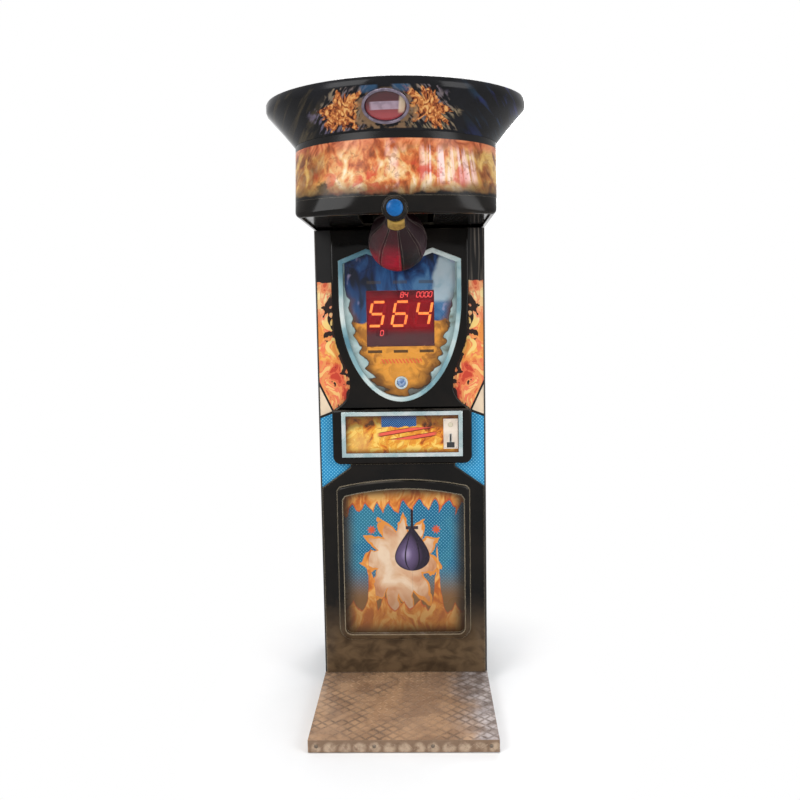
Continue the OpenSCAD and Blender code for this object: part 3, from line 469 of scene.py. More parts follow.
class EdgeWearAndSheen(Effect):
    """Paint or plating rubbed thin along the edges, and on the gloss black mouldings a painted highlight
    along their rounded edges.
    """

    title = "edge_wear_and_sheen"
    takes = {"Vector": None, "Width": 0.003, "Amount": 0.6, "Solid": 0.0}
    gives = {"Mask": "Float"}

    @classmethod
    def join(cls, graph: Graph, given: Fields) -> Fields:
        """Finds edges by how far a rounded normal turns from the flat one."""
        round_normal = graph.out(graph.node("Bevel", {"Radius": given["Width"]}, samples=4))
        flat_normal = graph.out(graph.node("NewGeometry", {}), "Normal")
        turn = 1 - graph.out(
            graph.node("VectorMath", {0: round_normal, 1: flat_normal}, operation="DOT_PRODUCT"), "Value"
        )
        patches = graph.noise(given["Vector"], 60.0, 4.0).rise(0.42, 0.6)
        return {"Mask": turn.rise(0.03, 0.25) * patches.most(given["Solid"]) * given["Amount"]}


class Hide(Effect):
    """Leather grain: small cells with creases between them."""

    title = "leather_hide"
    takes = {"Vector": None, "Scale": 260.0}
    gives = {"Height": "Float", "Crease": "Float"}

    @classmethod
    def join(cls, graph: Graph, given: Fields) -> Fields:
        """Measures the distance to the borders between cells, and adds long soft folds."""
        inputs = {"Vector": given["Vector"], "Scale": given["Scale"]}
        cells = graph.out(graph.node("TexVoronoi", inputs, feature="DISTANCE_TO_EDGE"), "Distance")
        pebble = cells.rise(0.0, 0.18)
        folds = graph.noise(given["Vector"], 24.0, 3.0, 1.5)
        crease = abs(folds - 0.5).fall(0.0, 0.05)
        return {"Height": pebble * 0.6 + folds - crease * 0.5, "Crease": crease}


# Finishes


@dataclass(frozen=True)
class BarGrid:
    """The lattice of the tread plate's raised bars, with the plate's top and front faces."""

    pitch: float = 23 * MM
    columns: int = 27
    rows: int = 23
    near: float = -502.5 * MM
    top: float = 46 * MM
    front: float = -520.5 * MM

    @property
    def left(self) -> float:
        """The first column's middle."""
        return -self.pitch * (self.columns - 1) / 2

    @property
    def phase_down(self) -> float:
        """Where the first line of the bars that lean one way crosses x - y."""
        return self.left - self.near

    @property
    def phase_up(self) -> float:
        """Where the first line of the bars that lean the other way crosses x + y."""
        return self.left + self.near + self.pitch


BARS = BarGrid()


@dataclass(frozen=True)
class Finish:
    """A finish: the material's name and the record's slot that it belongs to."""

    name: str
    slot: str

    def shade(self, graph: Graph) -> None:
        """Joins the material's nodes in its graph."""
        raise NotImplementedError

    def material(self) -> bpy.types.Material:
        """Builds the material once, and gives it back after that."""
        made = bpy.data.materials.get(self.name + "_finish")
        if made is None:
            made = bpy.data.materials.new(self.name + "_finish")
            self.shade(blank(made))
        return made


@dataclass(frozen=True)
class Surface(Finish):
    """A plain finish with its own variation, grain, edge wear and dust, which on the gloss black mouldings
    also paint highlights.
    """

    colour: Colour = (0.02, 0.02, 0.02)
    second: Colour = (0.03, 0.03, 0.03)
    patch: float = 6.0
    roughness: float = 0.4
    spread: float = 0.15
    metallic: float = 0.0
    specular: float = 0.5
    coat: float = 0.0
    grain: float = 700.0
    depth: float = 0.0001
    wear_and_sheen_colour: Optional[Colour] = None
    wear_and_sheen: float = 0.6
    wear_and_sheen_width: float = 0.003
    solid: float = 0.0
    dust_and_sheen_amount: float = 0.15
    glow: float = 0.0
    brushed: bool = False
    back: Optional[float] = None
    plain: Colour = rgb(186, 180, 168)

    def art(self, graph: Graph, place: Field, patches: Field) -> Field:
        """The colour over the surface.

        Args:
            graph: The material's graph.
            place: The point on the object.
            patches: The soft patches of this finish.

        Returns:
            The colour.
        """
        return graph.mix(patches, self.colour, self.second)

    def shade(self, graph: Graph) -> None:
        """Layers patches, edge wear and dust over the colour, and grain over the normal; on the gloss black
        mouldings the edge wear and dust are also painted highlights.
        """
        place = graph.place()
        patches = Smudge.add(graph, Vector=place, Scale=self.patch)["Mask"]
        colour = self.art(graph, place, patches)
        # Edge wear; on the gloss black mouldings this is a painted highlight along the rounded edges.
        if self.wear_and_sheen_colour is not None:
            edges = EdgeWearAndSheen.add(graph, Vector=place, Width=self.wear_and_sheen_width, Amount=self.wear_and_sheen, Solid=self.solid)
            colour = graph.mix(edges["Mask"], colour, self.wear_and_sheen_colour)
        if self.back is not None:
            behind = graph.parts(place)[1].rise(self.back, self.back + 0.4 * MM)
            colour = graph.mix(behind, colour, self.plain)
        # Dust; on the gloss black mouldings its raised amount is also a painted sheen on faces that look up.
        dust_and_sheen_mask = DustAndSheen.add(graph, Vector=place, Amount=self.dust_and_sheen_amount)["Mask"]
        colour = graph.mix(dust_and_sheen_mask, colour, rgb(150, 140, 128))
        rough = graph.span(patches, self.roughness, self.roughness + self.spread) + dust_and_sheen_mask * 0.3
        relief = Brushed if self.brushed else Grain
        height = relief.add(graph, Vector=place, Scale=self.grain)["Height"]
        inputs: Dict[str, Any] = {
            "Base_Color": colour, "Roughness": rough, "Metallic": self.metallic,
            "Specular_IOR_Level": self.specular, "Coat_Weight": self.coat, "Coat_Roughness": 0.08,
            "Normal": graph.bump(height, self.depth),
        }
        if self.glow:
            inputs["Emission_Color"] = colour
            inputs["Emission_Strength"] = self.glow
        graph.surface(**inputs)


SKY, SKY_DOT = rgb(34, 132, 182), rgb(122, 200, 226)
INK = rgb(14, 12, 12)
CREAM = rgb(226, 204, 176)


@dataclass(frozen=True)
class StripPrint(Surface):
    """The printed strips beside the mouldings: flames, a cream wedge and a dotted sky."""

    wedge_at: Tuple[float, float] = (322 * MM, 1217 * MM)
    wedge_slope: Tuple[float, float] = (0.905, 0.427)
    floor_at: Tuple[float, float] = (271 * MM, 1100 * MM)
    floor_slope: float = 0.383
    line: float = 3.5 * MM
    top: float = 1612 * MM

    @staticmethod
    def flames(graph: Graph, across: Field, up: Field) -> Field:
        """Colours the flames: peach at the top, then orange, then rose.

        Args:
            graph: The material's graph.
            across: Distance from the middle.
            up: Height.

        Returns:
            The colour.
        """
        fire = Flames.add(graph, Across=across, Up=up, Size=0.078, Seed=2.0)
        heat = fire["Heat"]
        peach = graph.ramp(heat, [
            (0.0, 206, 90, 60), (0.39, 226, 132, 88), (0.45, 234, 166, 114),
            (0.505, 236, 194, 136), (0.57, 236, 212, 152),
        ], True)
        orange = graph.ramp(heat, [
            (0.0, 210, 102, 56), (0.4, 224, 140, 68), (0.475, 230, 172, 88), (0.545, 234, 200, 122),
        ], True)
        rose = graph.ramp(heat, [
            (0.0, 188, 62, 44), (0.4, 212, 98, 64), (0.45, 224, 142, 84), (0.52, 232, 182, 112),
        ], True)
        wander = up + (graph.cloud(across * 14.0, up * 14.0, 5.0) - 0.5) * 0.08
        rose_top, orange_top, blend = 1300 * MM, 1460 * MM, 10 * MM
        return graph.layers(rose, (
            (wander.rise(rose_top - blend, rose_top + blend), orange),
            (wander.rise(orange_top - blend, orange_top + blend), peach),
            (fire["Streak"] * 0.8, rgb(226, 92, 74)),
        ))

    def art(self, graph: Graph, place: Field, patches: Field) -> Field:
        """Stacks the strips' colours by height, and draws the black lines and blots between them."""
        x, y, z = graph.parts(place)
        side = abs(x)
        dots = Halftone.add(graph, Across=side, Up=z, Dot=0.24)["Mask"]
        sky = graph.mix(dots, SKY, SKY_DOT)
        out, up = self.wedge_slope
        wedge = (z - self.wedge_at[1]) * up - (side - self.wedge_at[0]) * out
        floor = z - self.floor_at[1] + (side - self.floor_at[0]) * self.floor_slope
        colour = graph.mix(floor.rise(-0.0005, 0.0005), sky, graph.mix(patches, CREAM, rgb(212, 190, 164)))
        printed = self.flames(graph, side, z)
        inner = side - 0.2 - (1.5 - z).fall(0.0, 0.33) * 0.063
        blots = graph.cloud(side * 22.0, z * 13.0, 8.0, 2.0, 0.9)
        blots = (blots - inner * 3.6).rise(0.425, 0.435) * z.fall(1.54, 1.57)
        eyes = graph.cloud(side * 50.0, z * 34.0, 2.0, 1.0).rise(0.62, 0.64)
        lines = wedge.band(0.0, self.line, 0.001) * floor.rise(-0.004, 0.0)
        lines = lines.most(floor.band(0.0, self.line + 1 * MM, 0.001))
        ragged = z + graph.noise(place, 30.0, 2.0) * 0.02
        # Painted reflection: pale grey streaks on the black above the flames of the right strip.
        painted_reflection_streaks = graph.cloud(x * 90.0, y, z * 3.0).rise(0.5, 0.7) * x.rise(0.2, 0.3)
        top = graph.mix(painted_reflection_streaks * 0.55, INK, rgb(150, 138, 126))
        printed = graph.mix(blots * (1 - eyes), printed, rgb(34, 16, 12))
        return graph.layers(colour, (
            (wedge.rise(-0.0005, 0.0005) * floor.rise(-0.0005, 0.0005), printed),
            (lines.most(side.rise(COLUMN_HALF - 0.4 * MM, COLUMN_HALF - 0.1 * MM)), INK),
            (ragged.rise(self.top - 1 * MM, self.top + 1 * MM), top),
        ))


@dataclass(frozen=True)
class SidePrint(Surface):
    """The side panels: black boards with a flame sweep and fading dots."""

    def art(self, graph: Graph, place: Field, patches: Field) -> Field:
        """Draws a diagonal sweep of flames that rises towards the front, edged with dots."""
        x, y, z = graph.parts(place)
        sweep = z - 0.78 + (y * 1.1) + graph.noise(place, 5.0, 2.0) * 0.26
        heat = sweep.rise(0.12, 0.13) * sweep.fall(0.52, 0.53)
        flames = StripPrint.flames(graph, y * 0.6, z * 0.75 + 0.62)
        dots = Halftone.add(graph, Across=y, Up=z, Pitch=0.02, Dot=0.26)["Mask"]
        sky = graph.mix(dots, SKY, SKY_DOT)
        colour = graph.mix(sweep.rise(-0.02, -0.015) * sweep.fall(0.1, 0.105), self.colour, sky)
        outside = abs(x).rise(COLUMN_HALF - 0.4 * MM, COLUMN_HALF - 0.1 * MM)
        return graph.mix(outside, self.plain, graph.mix(heat, colour, flames))


@dataclass(frozen=True)
class BandPrint(Surface):
    """The pale band: steel blue, nearly white in places."""

    def art(self, graph: Graph, place: Field, patches: Field) -> Field:
        """Mixes three tones in soft lengths along the band."""
        x, y, z = graph.parts(place)
        broad = graph.cloud(x * 5.0, y, z * 5.0, 3.0, 0.5)
        return graph.ramp(broad + x * 0.12, [
            (0.34, 86, 128, 142), (0.45, 132, 166, 172), (0.53, 176, 196, 196), (0.62, 208, 214, 210),
        ])


@dataclass(frozen=True)
class ShieldPrint(Surface):
    """The shield: a blue top, a golden lower half and a dark scalloped edge."""

    half_width: float = 223.7 * MM
    shoulder: float = 1530 * MM
    drop: float = 379 * MM
    seam: float = 1452 * MM
    ticks: float = 1297 * MM
    dashes: Tuple[float, float] = (1334.5 * MM, 1600 * MM)

    def dash(self, x: Field, z: Field, height: float, half: float, soft: float) -> Field:
        """Masks two short dashes in a row, which stand for a label.

        Args:
            x: Distance to the right of the middle.
            z: Height.
            height: Height of the dashes' middle.
            half: Half their thickness.
            soft: Width of their soft edge.

        Returns:
            The mask.
        """
        return abs(abs(x) - 0.05).band(0.05, 0.027, 0.001) * z.band(height, half, soft)

    def blue(self, graph: Graph, place: Field, patches: Field) -> Field:
        """The blue top: dotted at its foot, with a pale sheen to the right and glints at the sides.

        Args:
            graph: The material's graph.
            place: The point on the object.
            patches: The soft patches of this finish.

        Returns:
            The colour.
        """
        x, y, z = graph.parts(place)
        dots = Halftone.add(graph, Across=x, Up=z, Pitch=0.011, Dot=0.22)["Mask"]
        streaks = graph.cloud(x * 18.0, y, z * 8.0, 4.0, 0.8)
        tones = graph.ramp(streaks + x * 0.3 - z.rise(1.5, 1.72) * 0.05, [
            (0.34, 10, 16, 34), (0.44, 20, 42, 82), (0.54, 36, 76, 124), (0.68, 70, 112, 152),
        ])
        lean = x - 0.165 - (z - 1.6) * 0.22 + graph.stray(place, 16.0, 0.04)
        sheen = lean.rise(-0.045, -0.03) * z.band(1.61, 0.075, 0.02)
        glints = graph.cloud(x * 22.0, y, z * 15.0).rise(0.62, 0.72)
        return graph.layers(tones, (
            (dots * z.fall(1.52, 1.62) * 0.5, rgb(110, 142, 176)),
            (sheen * 0.8, graph.mix(patches, rgb(146, 176, 186), rgb(188, 200, 204))),
            (glints * abs(x).rise(0.13, 0.16) * 0.5, rgb(176, 164, 194)),
            (self.dash(x, z, self.dashes[1], 0.0045, 0.003) * 0.55, rgb(70, 62, 54)),
        ))

    def gold(self, graph: Graph, place: Field) -> Field:
        """The golden lower half: faint rays, brown clouds, painted shade in the lower corners and a row of
        slanted ticks.

        Args:
            graph: The material's graph.
            place: The point on the object.

        Returns:
            The colour.
        """
        x, _, z = graph.parts(place)
        rays = Burst.add(graph, Across=x, Up=z - 1.30, Points=18.0, Inner=0.02, Outer=0.42)["Mask"]
        brown = graph.noise(place, 21.0, 3.0, 1.3).rise(0.44, 0.6) * abs(x).rise(-0.04, 0.13)
        # Painted shade: the lower corners darken to brown.
        corner_shade = (abs(x) * 0.8 - (z - 1.16) * 0.55 + graph.stray(place, 18.0, 0.08)).rise(0.0, 0.06)
        slants = graph.math("FRACT", (x + z * 0.6) / 0.0135).band(0.5, 0.22, 0.06)
        return graph.layers(graph.mix(rays * 0.25, rgb(214, 142, 54), rgb(226, 160, 70)), (
            (brown * 0.7, rgb(132, 80, 36)),
            (corner_shade * 0.7, rgb(62, 38, 20)),
            (slants * z.band(self.ticks, 0.008, 0.002) * x.band(0.0, 0.078, 0.004) * 0.8, rgb(216, 84, 56)),
            (self.dash(x, z, self.dashes[0], 0.005, 0.001) * 0.9, rgb(48, 38, 28)),
        ))

    def art(self, graph: Graph, place: Field, patches: Field) -> Field:
        """Puts the blue over the gold, and grey scallops along the rounded lower edge."""
        x, _, z = graph.parts(place)
        down = self.shoulder - z
        rim = 1 - graph.reach(x / self.half_width, down.most(0.0) / self.drop)
        scallops = graph.math("SINE", z * 118.0 + graph.noise(place, 9.0, 1.0) * 9.0) * 0.026 + 0.03
        scallops = scallops + graph.stray(place, 15.0, 0.2, 3.0, 0.6)
        rise = down.rise(-0.06, 0.03)
        edge = rim - scallops * rise - z.rise(1.2, 1.36) * rise * 0.05 + z.fall(1.17, 1.28) * 0.05
        shade = graph.ramp(graph.noise(place, 17.0, 3.0, 0.3), [
            (0.3, 112, 116, 104), (0.4, 140, 158, 154), (0.5, 160, 182, 182), (0.66, 184, 200, 198),
        ])
        # Painted shade: the lobes darken to brown at the lower tip.
        shade = graph.mix(z.fall(1.18, 1.25) * 0.8, shade, rgb(66, 44, 26))
        ragged = z + graph.stray(place, 22.0, 0.06, 3.0)
        upper = ragged.rise(self.seam - 0.004, self.seam + 0.004)
        return graph.layers(self.gold(graph, place), (
            (upper, self.blue(graph, place, patches)),
            (edge.fall(0.06, 0.2) * rise * 0.7, rgb(98, 60, 28)),
            (edge.fall(0.05, 0.056), shade),
            (edge.band(0.055, 0.005, 0.008) * rise * 0.75, rgb(56, 38, 24)),
        ))


@dataclass(frozen=True)
class CoinPrint(Surface):
    """The coin panel: golden flames, a dotted blue patch and red speed strokes."""

    def art(self, graph: Graph, place: Field, patches: Field) -> Field:
        """Lays the blue patch and the strokes over the flames, and paints shade along the border."""
        x, _, z = graph.parts(place)
        lick = graph.stray(place, 26.0, 0.05, 2.0, 0.8)
        fire = Flames.add(graph, Across=x + lick, Up=z * 1.5 + lick, Size=0.074, Seed=11.0)
        colour = graph.ramp(fire["Heat"] - abs(x + 0.08) * 0.1, [
            (0.0, 84, 40, 20), (0.36, 158, 80, 28), (0.41, 206, 116, 36),
            (0.455, 222, 144, 48), (0.51, 232, 172, 66), (0.57, 238, 196, 98),
        ], True)
        glow = graph.reach(x + 0.165, z - 0.985).fall(0.01, 0.07)
        tops = (z + abs(x + 0.02) * 0.12 + graph.stray(place, 30.0, 0.03)).rise(1.045, 1.07)
        dots = Halftone.add(graph, Across=x, Up=z, Pitch=0.009, Dot=0.24)["Mask"]
        sky = graph.mix(dots, rgb(30, 66, 118), rgb(96, 150, 190))
        ragged = z + graph.stray(place, 60.0, 0.02)
        patch = x.band(-0.012, 0.066, 0.003) * ragged.rise(1.044, 1.046)
        slant = (z - 1.015) * 2.2 - (x - 0.02) * 0.35
        share = graph.math("FRACT", slant * 14.0)
        span = x.band(0.02, 0.1, 0.02) * z.band(1.018, 0.02, 0.006)
        # Painted shade along the border, where the frame shades the panel.
        border_shade = x.band(0.0, 0.19, 0.03) * z.band(1.0155, 0.048, 0.026)
        colour = graph.layers(colour, (
            (fire["Streak"] * 0.3, rgb(176, 82, 34)),
            (glow * 0.45, rgb(214, 182, 112)),
            (tops * 0.7, rgb(70, 50, 28)),
            (patch, sky),
            (share.band(0.5, 0.24, 0.06) * span, rgb(112, 34, 22)),
            (share.band(0.52, 0.15, 0.05) * span, rgb(226, 92, 74)),
        ))
        return graph.mix(border_shade, graph.mix(0.75, colour, rgb(52, 24, 14)), colour)


@dataclass(frozen=True)
class PicturePrint(Surface):
    """The lower picture: flame tongues, a pale burst and a punch ball on a dotted blue ground."""

    burst_at: Tuple[float, float] = (-12 * MM, 530 * MM)
    ball_x: float = 32 * MM
    ball_foot: float = 462 * MM
    ball_high: float = 178 * MM
    ball_half: float = 66 * MM
    outline: float = 3 * MM
    sparks_at: Tuple[float, float] = (128 * MM, 630 * MM)

    def burst(self, graph: Graph, x: Field, z: Field) -> List[Coat]:
        """The burst behind the ball, squeezed in its lower half, with points that wander.

        Args:
            graph: The material's graph.
            x: Distance to the right of the middle.
            z: Height.

        Returns:
            The layers of its rim and of its clouds.
        """
        drift = graph.cloud(x * 17.0, z * 13.0, 9.0, 2.0, 0.5) - 0.5
        up = z - self.burst_at[1]
        up = up.most(0.0) + up.least(0.0) * 0.54 + drift * 0.05
        away = x - self.burst_at[0] - drift * 0.07
        outer = Burst.add(graph, Across=away, Up=up, Points=11.0, Inner=0.1, Outer=0.172, Turn=0.03)
        inner = Burst.add(graph, Across=away, Up=up, Points=11.0, Inner=0.09, Outer=0.15, Turn=0.03)
        cloudy = graph.cloud(x * 14.0, z * 9.0, 2.0, 3.0, 0.8)
        warm = graph.ramp(cloudy + outer["Reach"] * 1.6, [
            (0.48, 224, 198, 170), (0.62, 212, 174, 140), (0.76, 198, 146, 108), (0.9, 180, 120, 82),
        ])
        return [(outer["Mask"], rgb(214, 136, 58)), (inner["Mask"], warm)]

    def ball(self, graph: Graph, x: Field, z: Field) -> List[Coat]:
        """The punch ball on its strap and swivel, shaded round, with two seams and a dark outline.

        Args:
            graph: The material's graph.
            x: Distance to the right of the middle.
            z: Height.

        Returns:
            The layers of the strap, the swivel, the outline and the ball.
        """
        tall = ((z - self.ball_foot) / self.ball_high).most(0.0).least(1.0)
        half = graph.math("SINE", tall.power(0.6) * math.pi) * self.ball_half
        off = x - self.ball_x
        round_at = off / half.most(0.001)
        skin = graph.ramp(graph.reach(round_at + 0.35, tall - 0.38, 4.0), [
            (0.08, 150, 134, 168), (0.35, 98, 82, 116), (0.8, 64, 50, 76), (1.0, 36, 28, 44),
        ])
        skin = graph.mix(abs(abs(round_at) - 0.42).band(0.0, 0.03, 0.03), skin, rgb(30, 22, 34))
        inside = half - abs(off)
        return [
            (off.band(0.0, 0.0045, 0.001) * z.band(0.68, 0.05, 0.002), rgb(66, 40, 32)),
            (off.band(0.0, 0.024, 0.001) * z.band(0.637, 0.006, 0.001), rgb(58, 44, 50)),
            ((inside + self.outline).rise(-0.001, 0.001) * tall.rise(0.0, 0.01), rgb(30, 20, 26)),
            (inside.rise(-0.001, 0.001), skin),
        ]

    def fire(self, graph: Graph, x: Field, z: Field) -> List[Coat]:
        """Flame tongues that rise at the sides, a fringe that hangs from the top, and two sparks.

        Args:
            graph: The material's graph.
            x: Distance to the right of the middle.
            z: Height.

        Returns:
            The layers of the flames, their outline and the sparks.
        """
        heat = Flames.add(graph, Across=x, Up=z, Size=0.06, Seed=17.0)["Heat"]
        flames = graph.ramp(heat, [
            (0.0, 124, 62, 26), (0.42, 184, 96, 38), (0.5, 214, 134, 56), (0.58, 228, 172, 96),
        ])
        sway = graph.cloud(x * 9.0, z * 6.0, 4.0)
        tips = graph.cloud(x * 21.0, z * 9.0, 12.0, 2.0, 0.9)
        teeth = 1 - abs(graph.math("FRACT", x * 15.0 + sway * 1.1) - 0.5) * 2
        side = (abs(x) - 0.075).most(0.0) * (0.185 - abs(x)).most(0.0) * 16.0
        rising = teeth.power(1.7) * (side * 4.4 + 0.045) * (tips + 0.5) + sway * 0.09 - z + 0.25
        fringe = 1 - abs(graph.math("FRACT", x * 19.0 + sway * 1.6) - 0.5) * 2
        falling = z - 0.795 + sway * 0.07 + fringe.power(1.3) * tips * 0.09 + abs(x) * 0.12
        lick = rising.most(falling)
        across, up = abs(x) - self.sparks_at[0], z - self.sparks_at[1]
        spark = Burst.add(graph, Across=across, Up=up, Points=9.0, Inner=0.008, Outer=0.019)["Mask"]
        return [
            (lick.rise(-0.001, 0.001), flames),
            (lick.band(0.002, 0.003, 0.002) * 0.8, rgb(190, 74, 40)),
            (spark, rgb(204, 84, 44)),
        ]

    def art(self, graph: Graph, place: Field, patches: Field) -> Field:
        """Stacks the ground, the burst, the ball, the flames, a painted brown reflection over the lower part
        and painted shade along the border.
        """
        x, _, z = graph.parts(place)
        dots = Halftone.add(graph, Across=x, Up=z, Dot=0.24)["Mask"]
        ground = graph.mix(patches, rgb(24, 96, 132), rgb(40, 112, 134))
        ground = graph.mix(dots, ground, rgb(92, 160, 186))
        colour = graph.layers(ground, (
            ((0.5 - z).rise(0.0, 0.16), rgb(122, 88, 54)),
            *self.burst(graph, x, z),
            *self.ball(graph, x, z),
            *self.fire(graph, x, z),
            # Painted reflection: a brown haze over the lower part, as from the tread plate.
            ((0.43 - z).rise(0.0, 0.18) * 0.6, rgb(108, 78, 50)),
        ))
        # Painted shade along the border, in the recess behind the moulding.
        border_shade = x.band(0.0, 0.178, 0.055) * z.band(0.5, 0.235, 0.06)
        shadow = graph.mix(patches, rgb(40, 32, 22), rgb(70, 56, 40))
        return graph.mix(border_shade, graph.mix(0.88, colour, shadow), colour)


@dataclass(frozen=True)
class DrumPrint(Surface):
    """The lit drum: peach and cream clouds, coral along the top, black at the foot."""

    centre_y: float = -212.5 * MM
    radius: float = 300 * MM
    hole_at: Tuple[float, float] = (-236 * MM, 1888 * MM)
    rim: float = 2035 * MM
    rear: float = 500 * MM

    def unroll(self, graph: Graph, x: Field, y: Field) -> Field:
        """Measures how far round the drum a point lies from the middle of its front.

        Args:
            graph: The material's graph.
            x: Distance to the right of the middle.
            y: Distance to the back.

        Returns:
            The length along the drum, negative on the left.
        """
        ahead = (y - self.centre_y) * -1.0
        around = graph.math("ARCTAN2", x, ahead.most(0.0) + 0.0001) * self.radius
        return around + graph.math("SIGN", x) * (ahead * -1.0).most(0.0)

    def lamp_reflections(self, graph: Graph, place: Field, around: Field) -> Coat:
        """Painted reflections of the lamps: pale posts on the right, and a faint one in the middle.

        Args:
            graph: The material's graph.
            place: The point on the object.
            around: The length along the drum.

        Returns:
            Their layer.
        """
        z = graph.parts(place)[2]
        lamp_reflections = graph.cloud(around * 44.0, z * 2.0, 6.0).rise(0.47, 0.58)
        lamp_reflections = lamp_reflections * around.rise(0.08, 0.13) * around.fall(0.27, 0.3) * z.band(1.955, 0.035, 0.04)
        middle = around.band(-0.008, 0.01, 0.022) * graph.noise(place, 30.0, 2.0).rise(0.35, 0.6)
        return lamp_reflections.most(middle * 0.6) * 0.85, rgb(242, 212, 210)

    def edges(self, graph: Graph, place: Field) -> List[Coat]:
        """The dark hole on the left, the burnt foot and the plain rim and rear.

        Args:
            graph: The material's graph.
            place: The point on the object.

        Returns:
            Their layers.
        """
        x, y, z = graph.parts(place)
        hole = graph.reach(x - self.hole_at[0], z - self.hole_at[1], 0.6)
        hole = hole + graph.stray(place, 60.0, 0.03)
        ragged = z + graph.stray(place, 26.0, 0.03, 3.0) - abs(x) * 0.02
        plain = z.rise(self.rim, self.rim + 3 * MM).most(y.rise(self.rear, self.rear + 2 * MM))
        return [
            (hole.fall(0.012, 0.024) * 0.85, INK),
            (ragged.fall(1.866, 1.91) * 0.8, rgb(74, 58, 38)),
            (ragged.fall(1.858, 1.872).most(plain), INK),
        ]

    def art(self, graph: Graph, place: Field, patches: Field) -> Field:
        """Unrolls the drum, and colours it by height, with painted reflections of the lamps."""
        x, y, z = graph.parts(place)
        around = self.unroll(graph, x, y)
        heat = Flames.add(graph, Across=around, Up=z * 1.4, Size=0.07, Seed=23.0)["Heat"]
        clouds = graph.cloud(around * 15.0, z * 12.0, 1.0, 5.0, 1.4)
        peach = graph.ramp(clouds * 0.55 + heat * 0.45, [
            (0.36, 124, 60, 32), (0.42, 180, 92, 50), (0.475, 208, 130, 76),
            (0.52, 214, 162, 104), (0.575, 224, 188, 138), (0.64, 238, 212, 182),
        ])
        ends = abs(around) + (clouds - 0.5) * 0.1
        ends = ends.rise(0.2, 0.3) * ends.fall(0.4, 0.46)
        olive = graph.ramp(graph.cloud(around * 26.0, z * 11.0, 2.0, 3.0, 1.1), [
            (0.36, 66, 40, 24), (0.46, 134, 84, 44), (0.54, 170, 130, 66), (0.64, 198, 164, 92),
        ])
        rosy = graph.cloud(around * 13.0, z * 15.0, 9.0, 3.0, 0.9)
        rosy = rosy.rise(0.5, 0.6) * z.fall(1.94, 1.985) * (1 - ends)
        leaves = graph.cloud(around * 46.0, z * 40.0, 3.0, 3.0, 1.4)
        top = (z + (clouds - 0.5) * 0.09).rise(1.99, 2.03)
        coral = graph.ramp(heat, [
            (0.42, 134, 58, 36), (0.5, 194, 102, 66), (0.58, 216, 136, 92),
        ])
        return graph.layers(peach, (
            (ends * 0.8, olive),
            self.lamp_reflections(graph, place, around),
            (rosy * 0.75, rgb(194, 62, 46)),
            (leaves.rise(0.54, 0.64) * 0.45, rgb(132, 70, 40)),
            (top * 0.85, coral),
            *self.edges(graph, place),
        ))


